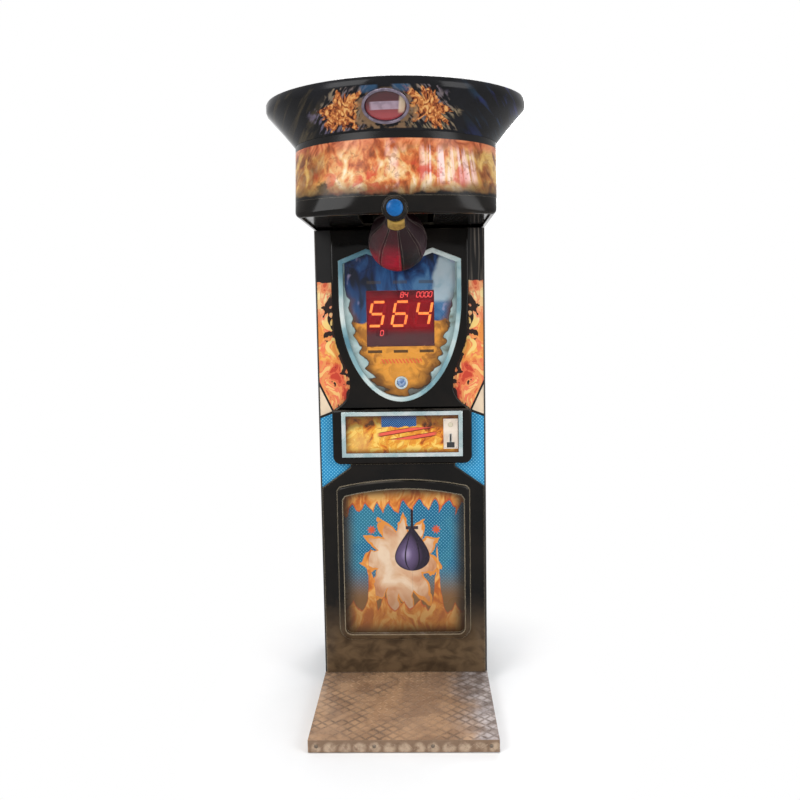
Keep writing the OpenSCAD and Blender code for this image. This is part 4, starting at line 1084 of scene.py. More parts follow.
@dataclass(frozen=True)
class CrownPrint(Surface):
    """The crown: gloss black with leafy flame bursts on both sides of the badge."""

    burst_x: float = 142 * MM
    burst_z: float = 2118 * MM
    ring_z: float = 2108 * MM
    crest_z: float = 2168 * MM
    slope: Tuple[float, float] = (2066 * MM, 2177.5 * MM)

    def black(self, graph: Graph, x: Field, z: Field, patches: Field) -> Field:
        """The moulding's black, with painted reflections: faint slanted tints towards both ends.

        Args:
            graph: The material's graph.
            x: Distance to the right of the middle.
            z: Height.
            patches: The soft patches of this finish.

        Returns:
            The colour.
        """
        side = abs(x)
        slant = graph.vector((side + z) * 26.0, (side - z) * 5.0, graph.math("SIGN", x) * 3.0)
        painted_reflection_tint = graph.noise(slant, 1.0, 3.0, 0.8).rise(0.48, 0.66)
        return graph.layers(graph.mix(patches, self.colour, self.second), (
            (painted_reflection_tint * x.rise(0.2, 0.3) * 0.8, graph.mix(patches, rgb(38, 40, 92), rgb(32, 62, 70))),
            (painted_reflection_tint * (x * -1.0).rise(0.2, 0.28) * 0.65, rgb(76, 66, 48)),
        ))

    def bursts(self, graph: Graph, off: Field, z: Field, patches: Field) -> List[Coat]:
        """A leafy flame burst on each side of the badge, in a halo of pale strokes.

        Args:
            graph: The material's graph.
            off: Distance to the right of the badge.
            z: Height.
            patches: The soft patches of this finish.

        Returns:
            The layers of the halo and the flames.
        """
        side = abs(off)
        high = z - self.burst_z
        wide = side - self.burst_x + high.most(0.0) * 0.7
        reach = graph.reach(wide, high, 1.9)
        turn = graph.math("ARCTAN2", high * -1.0, wide)
        spikes = graph.cloud(turn * 3.4, reach * 6.0, graph.math("SIGN", off), 3.0, 0.5)
        edge = reach - (spikes - 0.5) * 0.15
        leaves = graph.cloud(side * 62.0, z * 58.0, 4.0, 4.0, 1.6)
        fire = graph.ramp(leaves - reach * 0.9 + 0.03, [
            (0.32, 34, 16, 14), (0.4, 98, 48, 30), (0.47, 158, 84, 44), (0.54, 194, 122, 64),
            (0.64, 216, 166, 102),
        ])
        strokes = graph.cloud((side + high) * 90.0, (z - side) * 20.0, 7.0).rise(0.46, 0.6)
        halo = graph.mix(patches, rgb(96, 88, 112), rgb(140, 124, 98))
        return [(edge.fall(0.08, 0.105) * strokes * 0.8, halo), (edge.fall(0.054, 0.062), fire)]

    def setting(self, graph: Graph, place: Field, off: Field, z: Field) -> List[Coat]:
        """The brown glow round the badge, and the blue crest above it.

        Args:
            graph: The material's graph.
            place: The point on the object.
            off: Distance to the right of the badge.
            z: Height.

        Returns:
            Their layers.
        """
        low = z - self.ring_z
        ring = (off * off * 0.5 + low * low * 1.5).power(0.5)
        near = ring.fall(0.068, 0.078) * graph.noise(place, 40.0, 2.0).rise(0.42, 0.56)
        crest = z.band(self.crest_z, 0.006, 0.008) * abs(off).band(0.05, 0.02, 0.012)
        return [(near * 0.8, rgb(134, 106, 78)), (crest * 0.7, rgb(48, 80, 110))]

    def art(self, graph: Graph, place: Field, patches: Field) -> Field:
        """Prints the bursts and what lies round the badge on the sloped front only."""
        x, y, z = graph.parts(place)
        foot, rim = self.slope
        front = (y * -1.0).rise(0.25, 0.3) * z.rise(foot - 2 * MM, foot + 2 * MM)
        front = front * z.fall(rim - 1.5 * MM, rim + 1.5 * MM)
        off = x - BADGE_X
        prints = self.bursts(graph, off, z, patches) + self.setting(graph, place, off, z)
        black = self.black(graph, x, z, patches)
        return graph.layers(black, ((mask * front, colour) for mask, colour in prints))


@dataclass(frozen=True)
class BadgePrint(Surface):
    """The badge: dark red above, rose below, round a bare pale band."""

    def art(self, graph: Graph, place: Field, patches: Field) -> Field:
        """Bands the dome by its height."""
        x, _, z = graph.parts(place)
        up = (z - 2.124) * 1.3
        red = graph.mix(up.rise(-0.045, 0.02), rgb(150, 58, 62), rgb(64, 14, 22))
        band = up.band(-0.002, 0.012, 0.003) * (x - BADGE_X).band(0.0, 0.042, 0.012)
        pale = graph.mix(patches, rgb(168, 150, 166), rgb(138, 122, 138))
        sheen = (x - BADGE_X - 0.052 - up * 0.1).band(0.0, 0.006, 0.008) * up.band(0.004, 0.024, 0.012)
        red = graph.mix(band * 0.75, red, pale)
        return graph.mix(sheen * 0.6, red, rgb(218, 196, 162))


@dataclass(frozen=True)
class SkirtShell(Surface):
    """The lower moulding: gloss black, with a painted brown reflection of the tread plate near its foot."""

    def art(self, graph: Graph, place: Field, patches: Field) -> Field:
        """Paints the tread plate's brown reflection over the black, more towards the foot."""
        x, y, z = graph.parts(place)
        plate_reflection = graph.cloud(x * 16.0, y, z * 22.0, 5.0, 0.5).rise(0.3, 0.68)
        low = (z + plate_reflection * 0.05).fall(0.18, 0.4)
        black = graph.mix(patches, self.colour, self.second)
        return graph.mix(low, black, graph.mix(plate_reflection, rgb(66, 52, 38), rgb(104, 84, 62)))


@dataclass(frozen=True)
class TreadSteel(Surface):
    """Worn steel sheet: warm brown, with dirt and painted shade along the raised bars, painted highlights on
    the front lip and a painted grey reflection on the right side.
    """

    spots: float = 18 * MM

    def art(self, graph: Graph, place: Field, patches: Field) -> Field:
        """Mixes stained steel, paints a grey reflection on the right side, lays dirt and painted shade along
        the bars and paints highlights on the lip.
        """
        x, y, z = graph.parts(place)
        stains = graph.noise(place, 11.0, 5.0, 0.8).rise(0.36, 0.66)
        colour = graph.mix(stains, self.colour, self.second)
        # Painted reflection: the right side turns a mottled dark and light grey.
        right = (x + graph.stray(place, 7.0, 0.24, 3.0)).rise(0.18, 0.3)
        grey = graph.mix(graph.noise(place, 26.0, 3.0).rise(0.35, 0.65), rgb(92, 86, 88), rgb(180, 174, 176))
        warp = graph.stray(place, 16.0, 0.16)
        rows = graph.math("FRACT", (x - y - BARS.phase_down) / (2 * BARS.pitch) + 0.5 + warp)
        ranks = graph.math("FRACT", (x + y - BARS.phase_up) / (2 * BARS.pitch) + 0.5 - warp)
        # The dark lines along the bars are dirt and painted shade beside the raised bars, stronger on the
        # left.
        dirt_and_shade = rows.band(0.46, 0.05, 0.17).most(ranks.band(0.46, 0.05, 0.17))
        left = (0.05 - x).rise(0.0, 0.16) * 0.75 + x.rise(0.08, 0.2) * 0.6 + 0.25
        top = z.rise(BARS.top - 0.5 * MM, BARS.top - 0.2 * MM)
        dirt_and_shade = dirt_and_shade * graph.noise(place, 7.0, 3.0, 0.5).rise(0.32, 0.6) * top * left
        # Painted highlights: pale round patches along the front lip, where its embossing catches the light.
        spot = graph.math("FRACT", x / (2.2 * BARS.pitch) + graph.noise(place, 9.0, 2.0) * 0.9) - 0.5
        spot = graph.reach(z - self.spots, spot, 0.0025)
        lip = y.fall(BARS.front + 0.3 * MM, BARS.front + 0.7 * MM)
        lip_highlights = spot.fall(0.012, 0.026) * graph.noise(place, 40.0, 4.0).rise(0.3, 0.62)
        specks = graph.noise(place, 120.0, 4.0).rise(0.6, 0.72)
        return graph.layers(colour, (
            (right * 0.8, grey),
            (dirt_and_shade * 0.7, rgb(76, 58, 46)),
            (lip, graph.mix(lip_highlights, rgb(128, 102, 80), rgb(182, 158, 134))),
            (specks * 0.35, rgb(72, 54, 42)),
        ))


@dataclass(frozen=True)
class FilterSheet(Finish):
    """The red see-through sheet over the digits."""

    def shade(self, graph: Graph) -> None:
        """Dark red, glowing round the lit digits, smoky along the foot."""
        place = graph.place()
        x, _, z = graph.parts(place)
        patches = Smudge.add(graph, Vector=place, Scale=14.0)["Mask"]
        lit = z.band(1.479, 0.035, 0.05) * x.band(0.0, 0.11, 0.03)
        colour = graph.mix(patches, rgb(84, 12, 24), rgb(106, 20, 32))
        colour = graph.mix(lit, colour, rgb(148, 16, 26))
        colour = graph.mix((1.42 - z).rise(0.0, 0.03) * 0.8, colour, rgb(82, 54, 58))
        graph.surface(
            Base_Color=colour, Roughness=graph.span(patches, 0.08, 0.2), Specular_IOR_Level=0.3,
            Alpha=graph.span(patches, 0.5, 0.58), Emission_Color=colour, Emission_Strength=0.4,
        )


@dataclass(frozen=True)
class Lamp(Finish):
    """A lit plastic segment, a little brighter in its middle."""

    colour: Colour = rgb(255, 120, 60)
    strength: float = 3.0

    def shade(self, graph: Graph) -> None:
        """Glows, with a faint mottle."""
        mottle = graph.noise(graph.place(), 160.0, 2.0).rise(0.3, 0.7)
        glow = graph.mix(mottle, self.colour, tuple(min(1.0, level * 1.25) for level in self.colour))
        graph.surface(
            Base_Color=glow, Roughness=graph.span(mottle, 0.4, 0.55),
            Emission_Color=glow, Emission_Strength=self.strength,
        )


@dataclass(frozen=True)
class Leather(Surface):
    """Bag leather: pebbled and creased, with painted shade in the creases and painted shadow towards the
    neck, under the head.
    """

    painted_shadow: float = 0.9
    painted_shadow_from: float = 1665 * MM
    painted_shadow_to: float = 1725 * MM

    def shade(self, graph: Graph) -> None:
        """Paints shade into the creases and towards the neck over the dye, and puts the hide's relief on the
        normal.
        """
        place = graph.place()
        hide = Hide.add(graph, Vector=place, Scale=230.0)
        patches = Smudge.add(graph, Vector=place, Scale=self.patch)["Mask"]
        colour = graph.mix(patches, self.colour, self.second)
        # Painted shadow: darker towards the neck, where the head shades the bag.
        height = graph.parts(place)[2] + graph.stray(place, 14.0, 0.06)
        painted_shadow = height.rise(self.painted_shadow_from, self.painted_shadow_to)
        # Painted shade: darker in the creases.
        colour = graph.mix(hide["Crease"] * 0.35, colour, INK)
        colour = graph.mix(painted_shadow * self.painted_shadow, colour, rgb(34, 10, 16))
        graph.surface(
            Base_Color=colour, Roughness=graph.span(patches, self.roughness, self.roughness + self.spread),
            Specular_IOR_Level=self.specular, Normal=graph.bump(hide["Height"], self.depth),
        )


class Look(Enum):
    """The finishes of the machine's pieces."""

    FRAME = Surface("frame_paint", "frame_paint", rgb(46, 46, 48), rgb(58, 58, 60), 9, 0.45, 0.15,
                    wear_and_sheen_colour=rgb(120, 116, 110), wear_and_sheen=0.5, depth=0.0002)
    TREAD = TreadSteel("tread_steel", "tread_steel", rgb(186, 148, 114), rgb(152, 118, 90), 8, 0.4, 0.25,
                       metallic=0.2, grain=420, depth=0.0003, wear_and_sheen_colour=rgb(206, 186, 162), wear_and_sheen=0.35, dust_and_sheen_amount=0.1)
    TREAD_SCREW = Surface("lip_screw_steel", "zinc_steel", rgb(128, 114, 100), rgb(100, 88, 76), 60, 0.45,
                          0.2, metallic=0.5)
    ZINC = Surface("zinc_steel", "zinc_steel", rgb(168, 170, 172), rgb(138, 140, 142), 30, 0.32, 0.2,
                   metallic=0.9, grain=30, brushed=True)
    RUBBER = Surface("black_rubber", "black_rubber", rgb(26, 26, 26), rgb(38, 37, 36), 12, 0.7, 0.15,
                     specular=0.3, depth=0.0003, dust_and_sheen_amount=0.3)
    BOARD = Surface("black_board", "black_board", rgb(20, 19, 19), rgb(28, 27, 26), 5, 0.42, 0.18,
                    specular=0.4, grain=500, depth=0.0002, wear_and_sheen_colour=rgb(70, 62, 54), wear_and_sheen=0.5)
    SIDE = SidePrint("side_print", "black_board", rgb(16, 15, 15), rgb(24, 23, 22), 5, 0.48, 0.15,
                     specular=0.2, grain=500, plain=rgb(38, 34, 31))
    STRIP = StripPrint("strip_print", "printed_board", INK, INK, 10, 0.3, 0.12, specular=0.25,
                       depth=0.00005, back=FRONT + 0.3 * MM, plain=rgb(38, 34, 31))
    PLY = Surface("raw_board", "raw_board", rgb(178, 140, 96), rgb(150, 112, 74), 7, 0.6, 0.2,
                  grain=25, depth=0.0003, brushed=True, dust_and_sheen_amount=0.3)
    TRIM = Surface("dark_trim", "dark_trim", rgb(34, 30, 28), rgb(48, 42, 38), 10, 0.3, 0.2)
    # On the gloss black mouldings the pale edge colour paints highlights along rounded edges, and the raised
    # dust paints a sheen on faces that look up.
    SHELL = Surface("gloss_black", "gloss_black", rgb(11, 10, 9), rgb(22, 18, 15), 5, 0.1, 0.1,
                    specular=0.13, grain=260, depth=0.00004, wear_and_sheen_colour=rgb(150, 140, 122), wear_and_sheen=0.5,
                    wear_and_sheen_width=0.005, solid=0.6, dust_and_sheen_amount=0.25)
    SKIRT = SkirtShell("skirt_shell", "gloss_black", rgb(11, 10, 9), rgb(22, 18, 15), 5, 0.12, 0.12,
                       specular=0.14, grain=260, depth=0.00004, wear_and_sheen_colour=rgb(196, 180, 152), wear_and_sheen=0.9,
                       wear_and_sheen_width=0.009, solid=0.85, dust_and_sheen_amount=0.4)
    CROWN = CrownPrint("crown_print", "gloss_black", rgb(12, 12, 14), rgb(22, 22, 26), 8, 0.1, 0.1,
                       specular=0.13, grain=260, depth=0.00004, dust_and_sheen_amount=0.05)
    BAND = BandPrint("pale_band", "pale_band", INK, INK, 12, 0.3, 0.15,
                     specular=0.3, depth=0.00005, wear_and_sheen_colour=rgb(90, 100, 100), wear_and_sheen=0.3)
    SHIELD = ShieldPrint("shield_print", "shield_print", INK, INK, 9, 0.22, 0.12, specular=0.25,
                         depth=0.00004, back=FRONT - 0.8 * MM)
    FILTER = FilterSheet("red_filter", "red_filter")
    LED_CASE = Surface("led_case", "led_case", rgb(30, 8, 10), rgb(42, 12, 14), 20, 0.5, 0.2, dust_and_sheen_amount=0.0)
    PCB = Surface("circuit_board", "circuit_board", rgb(24, 74, 44), rgb(36, 96, 58), 60, 0.4, 0.2,
                  grain=300, depth=0.0002)
    CHROME = Surface("chrome_trim", "chrome_trim", rgb(206, 212, 212), rgb(160, 182, 184), 16, 0.16, 0.14,
                     metallic=0.7, grain=40, depth=0.00005, brushed=True, wear_and_sheen_colour=rgb(120, 112, 104), wear_and_sheen=0.4)
    BEZEL = Surface("badge_chrome", "chrome_trim", rgb(128, 118, 132), rgb(92, 84, 98), 40, 0.25, 0.15,
                    metallic=0.6, grain=40, depth=0.00005, dust_and_sheen_amount=0.03)
    ALLOY = Surface("bright_alloy", "bright_alloy", rgb(196, 198, 200), rgb(160, 164, 168), 26, 0.22, 0.18,
                    metallic=0.95, grain=30, brushed=True)
    BLUE = Surface("blue_button", "blue_button", rgb(3, 76, 134), rgb(8, 90, 152), 30, 0.22, 0.1,
                   specular=0.22, depth=0.00004, glow=0.03, dust_and_sheen_amount=0.02)
    SELECT = Surface("select_cap", "blue_button", rgb(74, 104, 148), rgb(146, 166, 196), 95, 0.22, 0.15,
                     metallic=0.3, depth=0.00004, dust_and_sheen_amount=0.05)
    COIN = CoinPrint("coin_print", "coin_print", INK, INK, 10, 0.22, 0.12, specular=0.25,
                     depth=0.00004, back=-12.2 * MM)
    WHITE = Surface("white_plate", "white_plate", rgb(228, 214, 198), rgb(206, 190, 174), 20, 0.35, 0.15,
                    wear_and_sheen_colour=rgb(120, 110, 104), wear_and_sheen=0.5)
    PLASTIC = Surface("dark_plastic", "dark_plastic", rgb(30, 30, 32), rgb(42, 42, 44), 16, 0.4, 0.2,
                      depth=0.0002, wear_and_sheen_colour=rgb(80, 78, 76), wear_and_sheen=0.3)
    REJECT = Surface("reject_cream", "red_button", rgb(206, 196, 172), rgb(178, 166, 142), 40, 0.25, 0.15,
                     wear_and_sheen_colour=rgb(120, 104, 88), wear_and_sheen=0.4)
    PICTURE = PicturePrint("picture_print", "picture_print", INK, INK, 7, 0.2, 0.14, specular=0.25,
                           depth=0.00004, back=FRONT - 0.8 * MM)
    DRUM = DrumPrint("head_print", "head_print", INK, INK, 9, 0.2, 0.14, specular=0.16, depth=0.00004,
                     glow=0.04, dust_and_sheen_amount=0.03)
    BADGE = BadgePrint("badge_print", "badge_print", INK, INK, 40, 0.08, 0.08, specular=0.4, coat=0.25,
                       depth=0.00003, dust_and_sheen_amount=0.03)
    STRIP_LIGHT = Lamp("light_strip", "light_strip", rgb(255, 236, 206), 1.0)
    DIGIT = Lamp("lit_digit", "led_case", rgb(255, 150, 70), 4.5)
    SMALL_DIGIT = Lamp("lit_small_digit", "led_case", rgb(250, 84, 80), 2.8)
    CRIMSON = Leather("crimson_leather", "bag_leather", rgb(160, 14, 42), rgb(122, 8, 32), 11, 0.36, 0.2,
                      specular=0.25, depth=0.0006)
    BLACK_HIDE = Leather("black_leather", "bag_leather", rgb(13, 11, 13), rgb(22, 18, 22), 11, 0.34, 0.2,
                         specular=0.18, depth=0.0006)
    PURPLE = Leather("purple_leather", "bag_leather", rgb(72, 12, 46), rgb(44, 10, 36), 11, 0.36, 0.2,
                     specular=0.2, depth=0.0006)
    MAROON = Leather("maroon_leather", "bag_leather", rgb(40, 12, 16), rgb(26, 9, 12), 14, 0.4, 0.2,
                     specular=0.18, depth=0.0005)
    PATCH = Leather("yellow_patch", "bag_leather", rgb(186, 150, 70), rgb(148, 114, 50), 30, 0.5, 0.2,
                    specular=0.3, depth=0.0004, painted_shadow=0.0)
    THREAD = Surface("seam_thread", "bag_leather", rgb(132, 118, 110), rgb(94, 84, 80), 60, 0.7, 0.1,
                     specular=0.2, grain=2000)
    CAST = Surface("cast_block", "cast_block", rgb(92, 94, 96), rgb(72, 74, 76), 20, 0.5, 0.2,
                   metallic=0.5, grain=300, depth=0.0005)

    def paint(self) -> bpy.types.Material:
        """The finish's material."""
        return self.value.material()


# Pieces


def link(name: str, data: bpy.types.ID) -> Piece:
    """Puts an object with this data into the scene.

    Args:
        name: The object's name.
        data: Its mesh, camera or lamp.

    Returns:
        The new object.
    """
    made = bpy.data.objects.new(name, data)
    bpy.context.scene.collection.objects.link(made)
    return made


def settle(name: str, mesh: Mesh) -> bpy.types.Mesh:
    """Turns a mesh that is being made into mesh data, and frees it.

    Args:
        name: The data's name.
        mesh: The mesh.

    Returns:
        The mesh data.
    """
    data = bpy.data.meshes.new(name)
    mesh.to_mesh(data)
    mesh.free()
    return data


class Shop:
    """Makes pieces from meshes, and dresses CAD nodes."""

    @staticmethod
    def body_of(node: str) -> str:
        """The name of the body that a CAD node belongs to."""
        groups = (FRAME["record"].get("behaviour") or {}).get("bodies") or {}
        return next((body for body, nodes in groups.items() if node in nodes), "root")

    @staticmethod
    def dress(look: Look, *nodes: str) -> None:
        """Gives CAD nodes a finish.

        Args:
            look: The finish.
            nodes: The nodes' names.
        """
        for node in nodes:
            data = FRAME["nodes"][node].data
            data.materials.clear()
            data.materials.append(look.paint())
            LOG.info("dressed %s in %s", node, look.value.name)

    @staticmethod
    def piece(name: str, mesh: Mesh, body: str, looks: Sequence[Look],
              sharp: float = 35.0, smooth: bool = True) -> Piece:
        """Makes an object of a mesh, dresses it and puts it on its body.

        Args:
            name: The piece's name.
            mesh: The mesh, in place; it is freed here.
            body: The CAD body that the piece rides on.
            looks: The finishes, in the order of the faces' material numbers.
            sharp: Edges that turn by more degrees than this stay sharp.
            smooth: Whether faces are shaded smooth.

        Returns:
            The new object.
        """
        for face in mesh.faces:
            face.smooth = smooth
        for edge in mesh.edges:
            edge.smooth = len(edge.link_faces) != 2 or edge.calc_face_angle(0.0) < math.radians(sharp)
        data = settle(name, mesh)
        for look in looks:
            data.materials.append(look.paint())
        made = link(name, data)
        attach(made, body)
        LOG.info("built %s on %s: %d faces", name, body, len(data.polygons))
        return made

    @staticmethod
    def refine(node: str, name: str, look: Look, rounding: float = 0.0, sharp: float = 35.0,
               segments: int = 2) -> Piece:
        """Makes a merged, smooth and edge-rounded piece from a CAD node, and lets it stand for it.

        Args:
            node: The CAD node.
            name: The new piece's name.
            look: Its finish.
            rounding: Radius of its rounded edges, in metres.
            sharp: Edges that turn by more degrees than this are rounded, or else stay sharp.
            segments: Faces across a rounded edge.

        Returns:
            The new object.
        """
        mesh = bmesh.new()
        mesh.from_mesh(FRAME["nodes"][node].data)
        bmesh.ops.remove_doubles(mesh, verts=mesh.verts, dist=5e-6)
        bmesh.ops.dissolve_limit(mesh, angle_limit=math.radians(0.3), verts=mesh.verts, edges=mesh.edges)
        if rounding:
            edges = [e for e in mesh.edges if e.calc_face_angle(0.0) > math.radians(sharp)]
            bmesh.ops.bevel(mesh, geom=edges, offset=rounding, offset_type="OFFSET", segments=segments,
                            profile=0.5, affect="EDGES", clamp_overlap=True, material=-1)
        made = Shop.piece(name, mesh, Shop.body_of(node), [look], sharp)
        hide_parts(node)
        return made

    @staticmethod
    def refine_all(*rows: Tuple[str, str, Look, float]) -> None:
        """Refines CAD nodes, each given with its piece's name, its finish and its rounding in mm."""
        for node, name, look, rounding in rows:
            Shop.refine(node, name, look, rounding * MM)


def at(x: float, y: float, z: float) -> Matrix:
    """A shift, in metres."""
    return Matrix.Translation((x, y, z))


def scaled(x: float, y: float, z: float) -> Matrix:
    """A stretch along each axis."""
    return Matrix.Diagonal((x, y, z, 1.0))


def turned(degrees: float, axis: str) -> Matrix:
    """A turn about an axis."""
    return Matrix.Rotation(math.radians(degrees), 4, axis)


@dataclass
class Base:
    """The tread plate, the feet, the frame under them and the rear castors."""

    lip_row: float = 22 * MM
    length: float = 29 * MM
    width: float = 5.5 * MM
    rise: float = 1.6 * MM
    sink: float = 0.2 * MM
    taper: float = 0.55
    lean: float = 45.0

    def bar(self, mesh: Mesh, place: Matrix, lean: float) -> None:
        """Adds one raised bar.

        Args:
            mesh: The mesh.
            place: Where the sheet's face is, with Z out of it.
            lean: The bar's turn in degrees.
        """
        shape = place @ at(0, 0, self.rise / 2 - self.sink) @ turned(lean, "Z")
        shape = shape @ scaled(self.length / 2, self.width / 2, 1.0)
        bmesh.ops.create_cone(mesh, matrix=shape, cap_ends=True, segments=10, radius1=1.0,
                              radius2=self.taper, depth=self.rise)

    def tread_bars(self) -> Piece:
        """Raises crossing bars all over the tread plate and along its front lip."""
        mesh = bmesh.new()
        for column in range(BARS.columns):
            x = BARS.left + column * BARS.pitch
            for row in range(BARS.rows):
                lean = -self.lean if (row + column) % 2 else self.lean
                self.bar(mesh, at(x, BARS.near + row * BARS.pitch, BARS.top), lean)
            lean = self.lean if column % 2 else -self.lean
            self.bar(mesh, at(x, BARS.front, self.lip_row) @ turned(90, "X"), lean)
        return Shop.piece("tread_bars", mesh, "root", [Look.TREAD], 50)

    def build(self) -> None:
        """Builds and dresses the base."""
        Shop.refine("tread_plate", "tread_sheet", Look.TREAD, 2.5 * MM, segments=3)
        self.tread_bars()
        Shop.dress(Look.FRAME, "base_frame")
        Shop.refine_all(
            ("lip_screws", "lip_screw_heads", Look.TREAD_SCREW, 0.3),
            ("levelling_feet", "foot_pads", Look.RUBBER, 0.3),
            ("castor_brackets", "castor_forks", Look.ZINC, 0.4),
            ("castor_wheel_left", "left_castor_tyre", Look.RUBBER, 0.6),
            ("castor_wheel_right", "right_castor_tyre", Look.RUBBER, 0.6),
        )


@dataclass
class Cabinet:
    """The column's boards, its back and what it holds."""

    def build(self) -> None:
        """Builds and dresses the cabinet."""
        Shop.dress(Look.SIDE, "side_panel_left", "side_panel_right")
        Shop.dress(Look.STRIP, "front_board")
        Shop.dress(Look.PLY, "cabinet_floor")
        Shop.dress(Look.BOARD, "back_panel")
        Shop.dress(Look.PCB, "control_board", "display_board")
        Shop.refine_all(
            ("edge_trims", "corner_trims", Look.TRIM, 0.8),
            ("back_door", "door_board", Look.BOARD, 0.8),
            ("hinge_leaves", "hinge_halves_fixed", Look.ZINC, 0.4),
            ("door_leaves", "hinge_halves_door", Look.ZINC, 0.4),
            ("lock_barrel", "lock_face", Look.CHROME, 0.3),
            ("lock_cam", "lock_tongue", Look.ZINC, 0.3),
            ("cash_drawer", "cash_box", Look.ZINC, 0.5),
            ("power_supply", "supply_case", Look.ZINC, 0.4),
            ("power_inlet", "inlet_socket_case", Look.PLASTIC, 0.3),
            ("mast", "mast_tubes", Look.FRAME, 1.2),
        )


class Stroke(Enum):
    """The seven strokes of a digit: across strokes have only a height."""

    TOP = (0, 1)
    MIDDLE = (0, 0)
    FOOT = (0, -1)
    UPPER_LEFT = (-1, 0)
    LOWER_LEFT = (-1, -1)
    UPPER_RIGHT = (1, 0)
    LOWER_RIGHT = (1, -1)


UNLIT: Dict[str, Tuple[Stroke, ...]] = {
    "0": (Stroke.MIDDLE,),
    "4": (Stroke.TOP, Stroke.FOOT, Stroke.LOWER_LEFT),
    "5": (Stroke.LOWER_LEFT, Stroke.UPPER_RIGHT),
    "6": (Stroke.UPPER_RIGHT,),
    "8": (),
}


@dataclass
class Display:
    """The shield with its digits and the select button."""

    score_signs: str = "564"
    height: float = 91.44 * MM
    middle: float = 1479.2 * MM
    pitch: float = 90 * MM
    depth: Tuple[float, float] = (FRONT + 0.1 * MM, FRONT + 0.95 * MM)
    small: float = 20 * MM
    small_pitch: float = 15.8 * MM
    small_depth: Tuple[float, float] = (FRONT - 0.6 * MM, FRONT + 0.1 * MM)
    counts: Tuple[Tuple[str, float, float], ...] = (
        ("84", 16 * MM, 1551.5 * MM), ("0000", 93.5 * MM, 1551.5 * MM), ("0", -72 * MM, 1406.2 * MM),
    )
    lean: float = 0.1
    width_share: float = 0.56
    stroke_share: float = 0.105
    across_share: float = 0.79
    upright_share: float = 0.395

    def digit(self, mesh: Mesh, sign: str, x: float, z: float, height: float,
              depth: Tuple[float, float]) -> None:
        """Adds the lit strokes of one digit, which leans to the right.

        Args:
            mesh: The mesh.
            sign: The digit.
            x: Its middle.
            z: Its middle.
            height: Its height.
            depth: Its front and back.
        """
        width, thick = height * self.width_share, height * self.stroke_share
        middle, deep = sum(depth) / 2, depth[1] - depth[0]
        for stroke in Stroke:
            if stroke in UNLIT[sign]:
                continue
            u, v = stroke.value
            if u == 0:
                shape = at(x + v * height * self.lean, middle, z + v * height / 2)
                shape = shape @ scaled(width * self.across_share, deep, thick)
            else:
                rise = v + 0.5
                slant = Matrix.Identity(4)
                slant[0][2] = 2 * self.lean
                shape = at(x + u * width / 2 + rise * height * self.lean, middle, z + rise * height / 2)
                shape = shape @ slant @ scaled(thick, deep, height * self.upright_share)
            bmesh.ops.create_cube(mesh, matrix=shape, size=1.0)

    def score(self) -> Piece:
        """Lights the three large digits in their grooves."""
        mesh = bmesh.new()
        for index, sign in enumerate(self.score_signs):
            self.digit(mesh, sign, (index - 1) * self.pitch, self.middle, self.height, self.depth)
        return Shop.piece("lit_score", mesh, "root", [Look.DIGIT], smooth=False)

    def counters(self) -> Piece:
        """Lights the small digits behind the red sheet."""
        mesh = bmesh.new()
        for signs, x, z in self.counts:
            for index, sign in enumerate(signs):
                place = x + (index - (len(signs) - 1) / 2) * self.small_pitch
                self.digit(mesh, sign, place, z, self.small, self.small_depth)
        return Shop.piece("lit_counters", mesh, "root", [Look.SMALL_DIGIT], smooth=False)

    def build(self) -> None:
        """Builds and dresses the display."""
        Shop.refine("display_surround", "display_moulding", Look.SHELL, 0.0, 38)
        Shop.refine("shield_bezel", "shield_band", Look.BAND, 1.6 * MM, 40, 3)
        Shop.dress(Look.SHIELD, "shield_panel")
        Shop.dress(Look.FILTER, "display_filter")
        Shop.dress(Look.LED_CASE, "digit_modules")
        self.score()
        self.counters()
        Shop.refine("select_ring", "select_collar", Look.CHROME, 0.8 * MM, 40, 3)
        Shop.refine("select_button", "select_cap", Look.SELECT, 0.4 * MM)


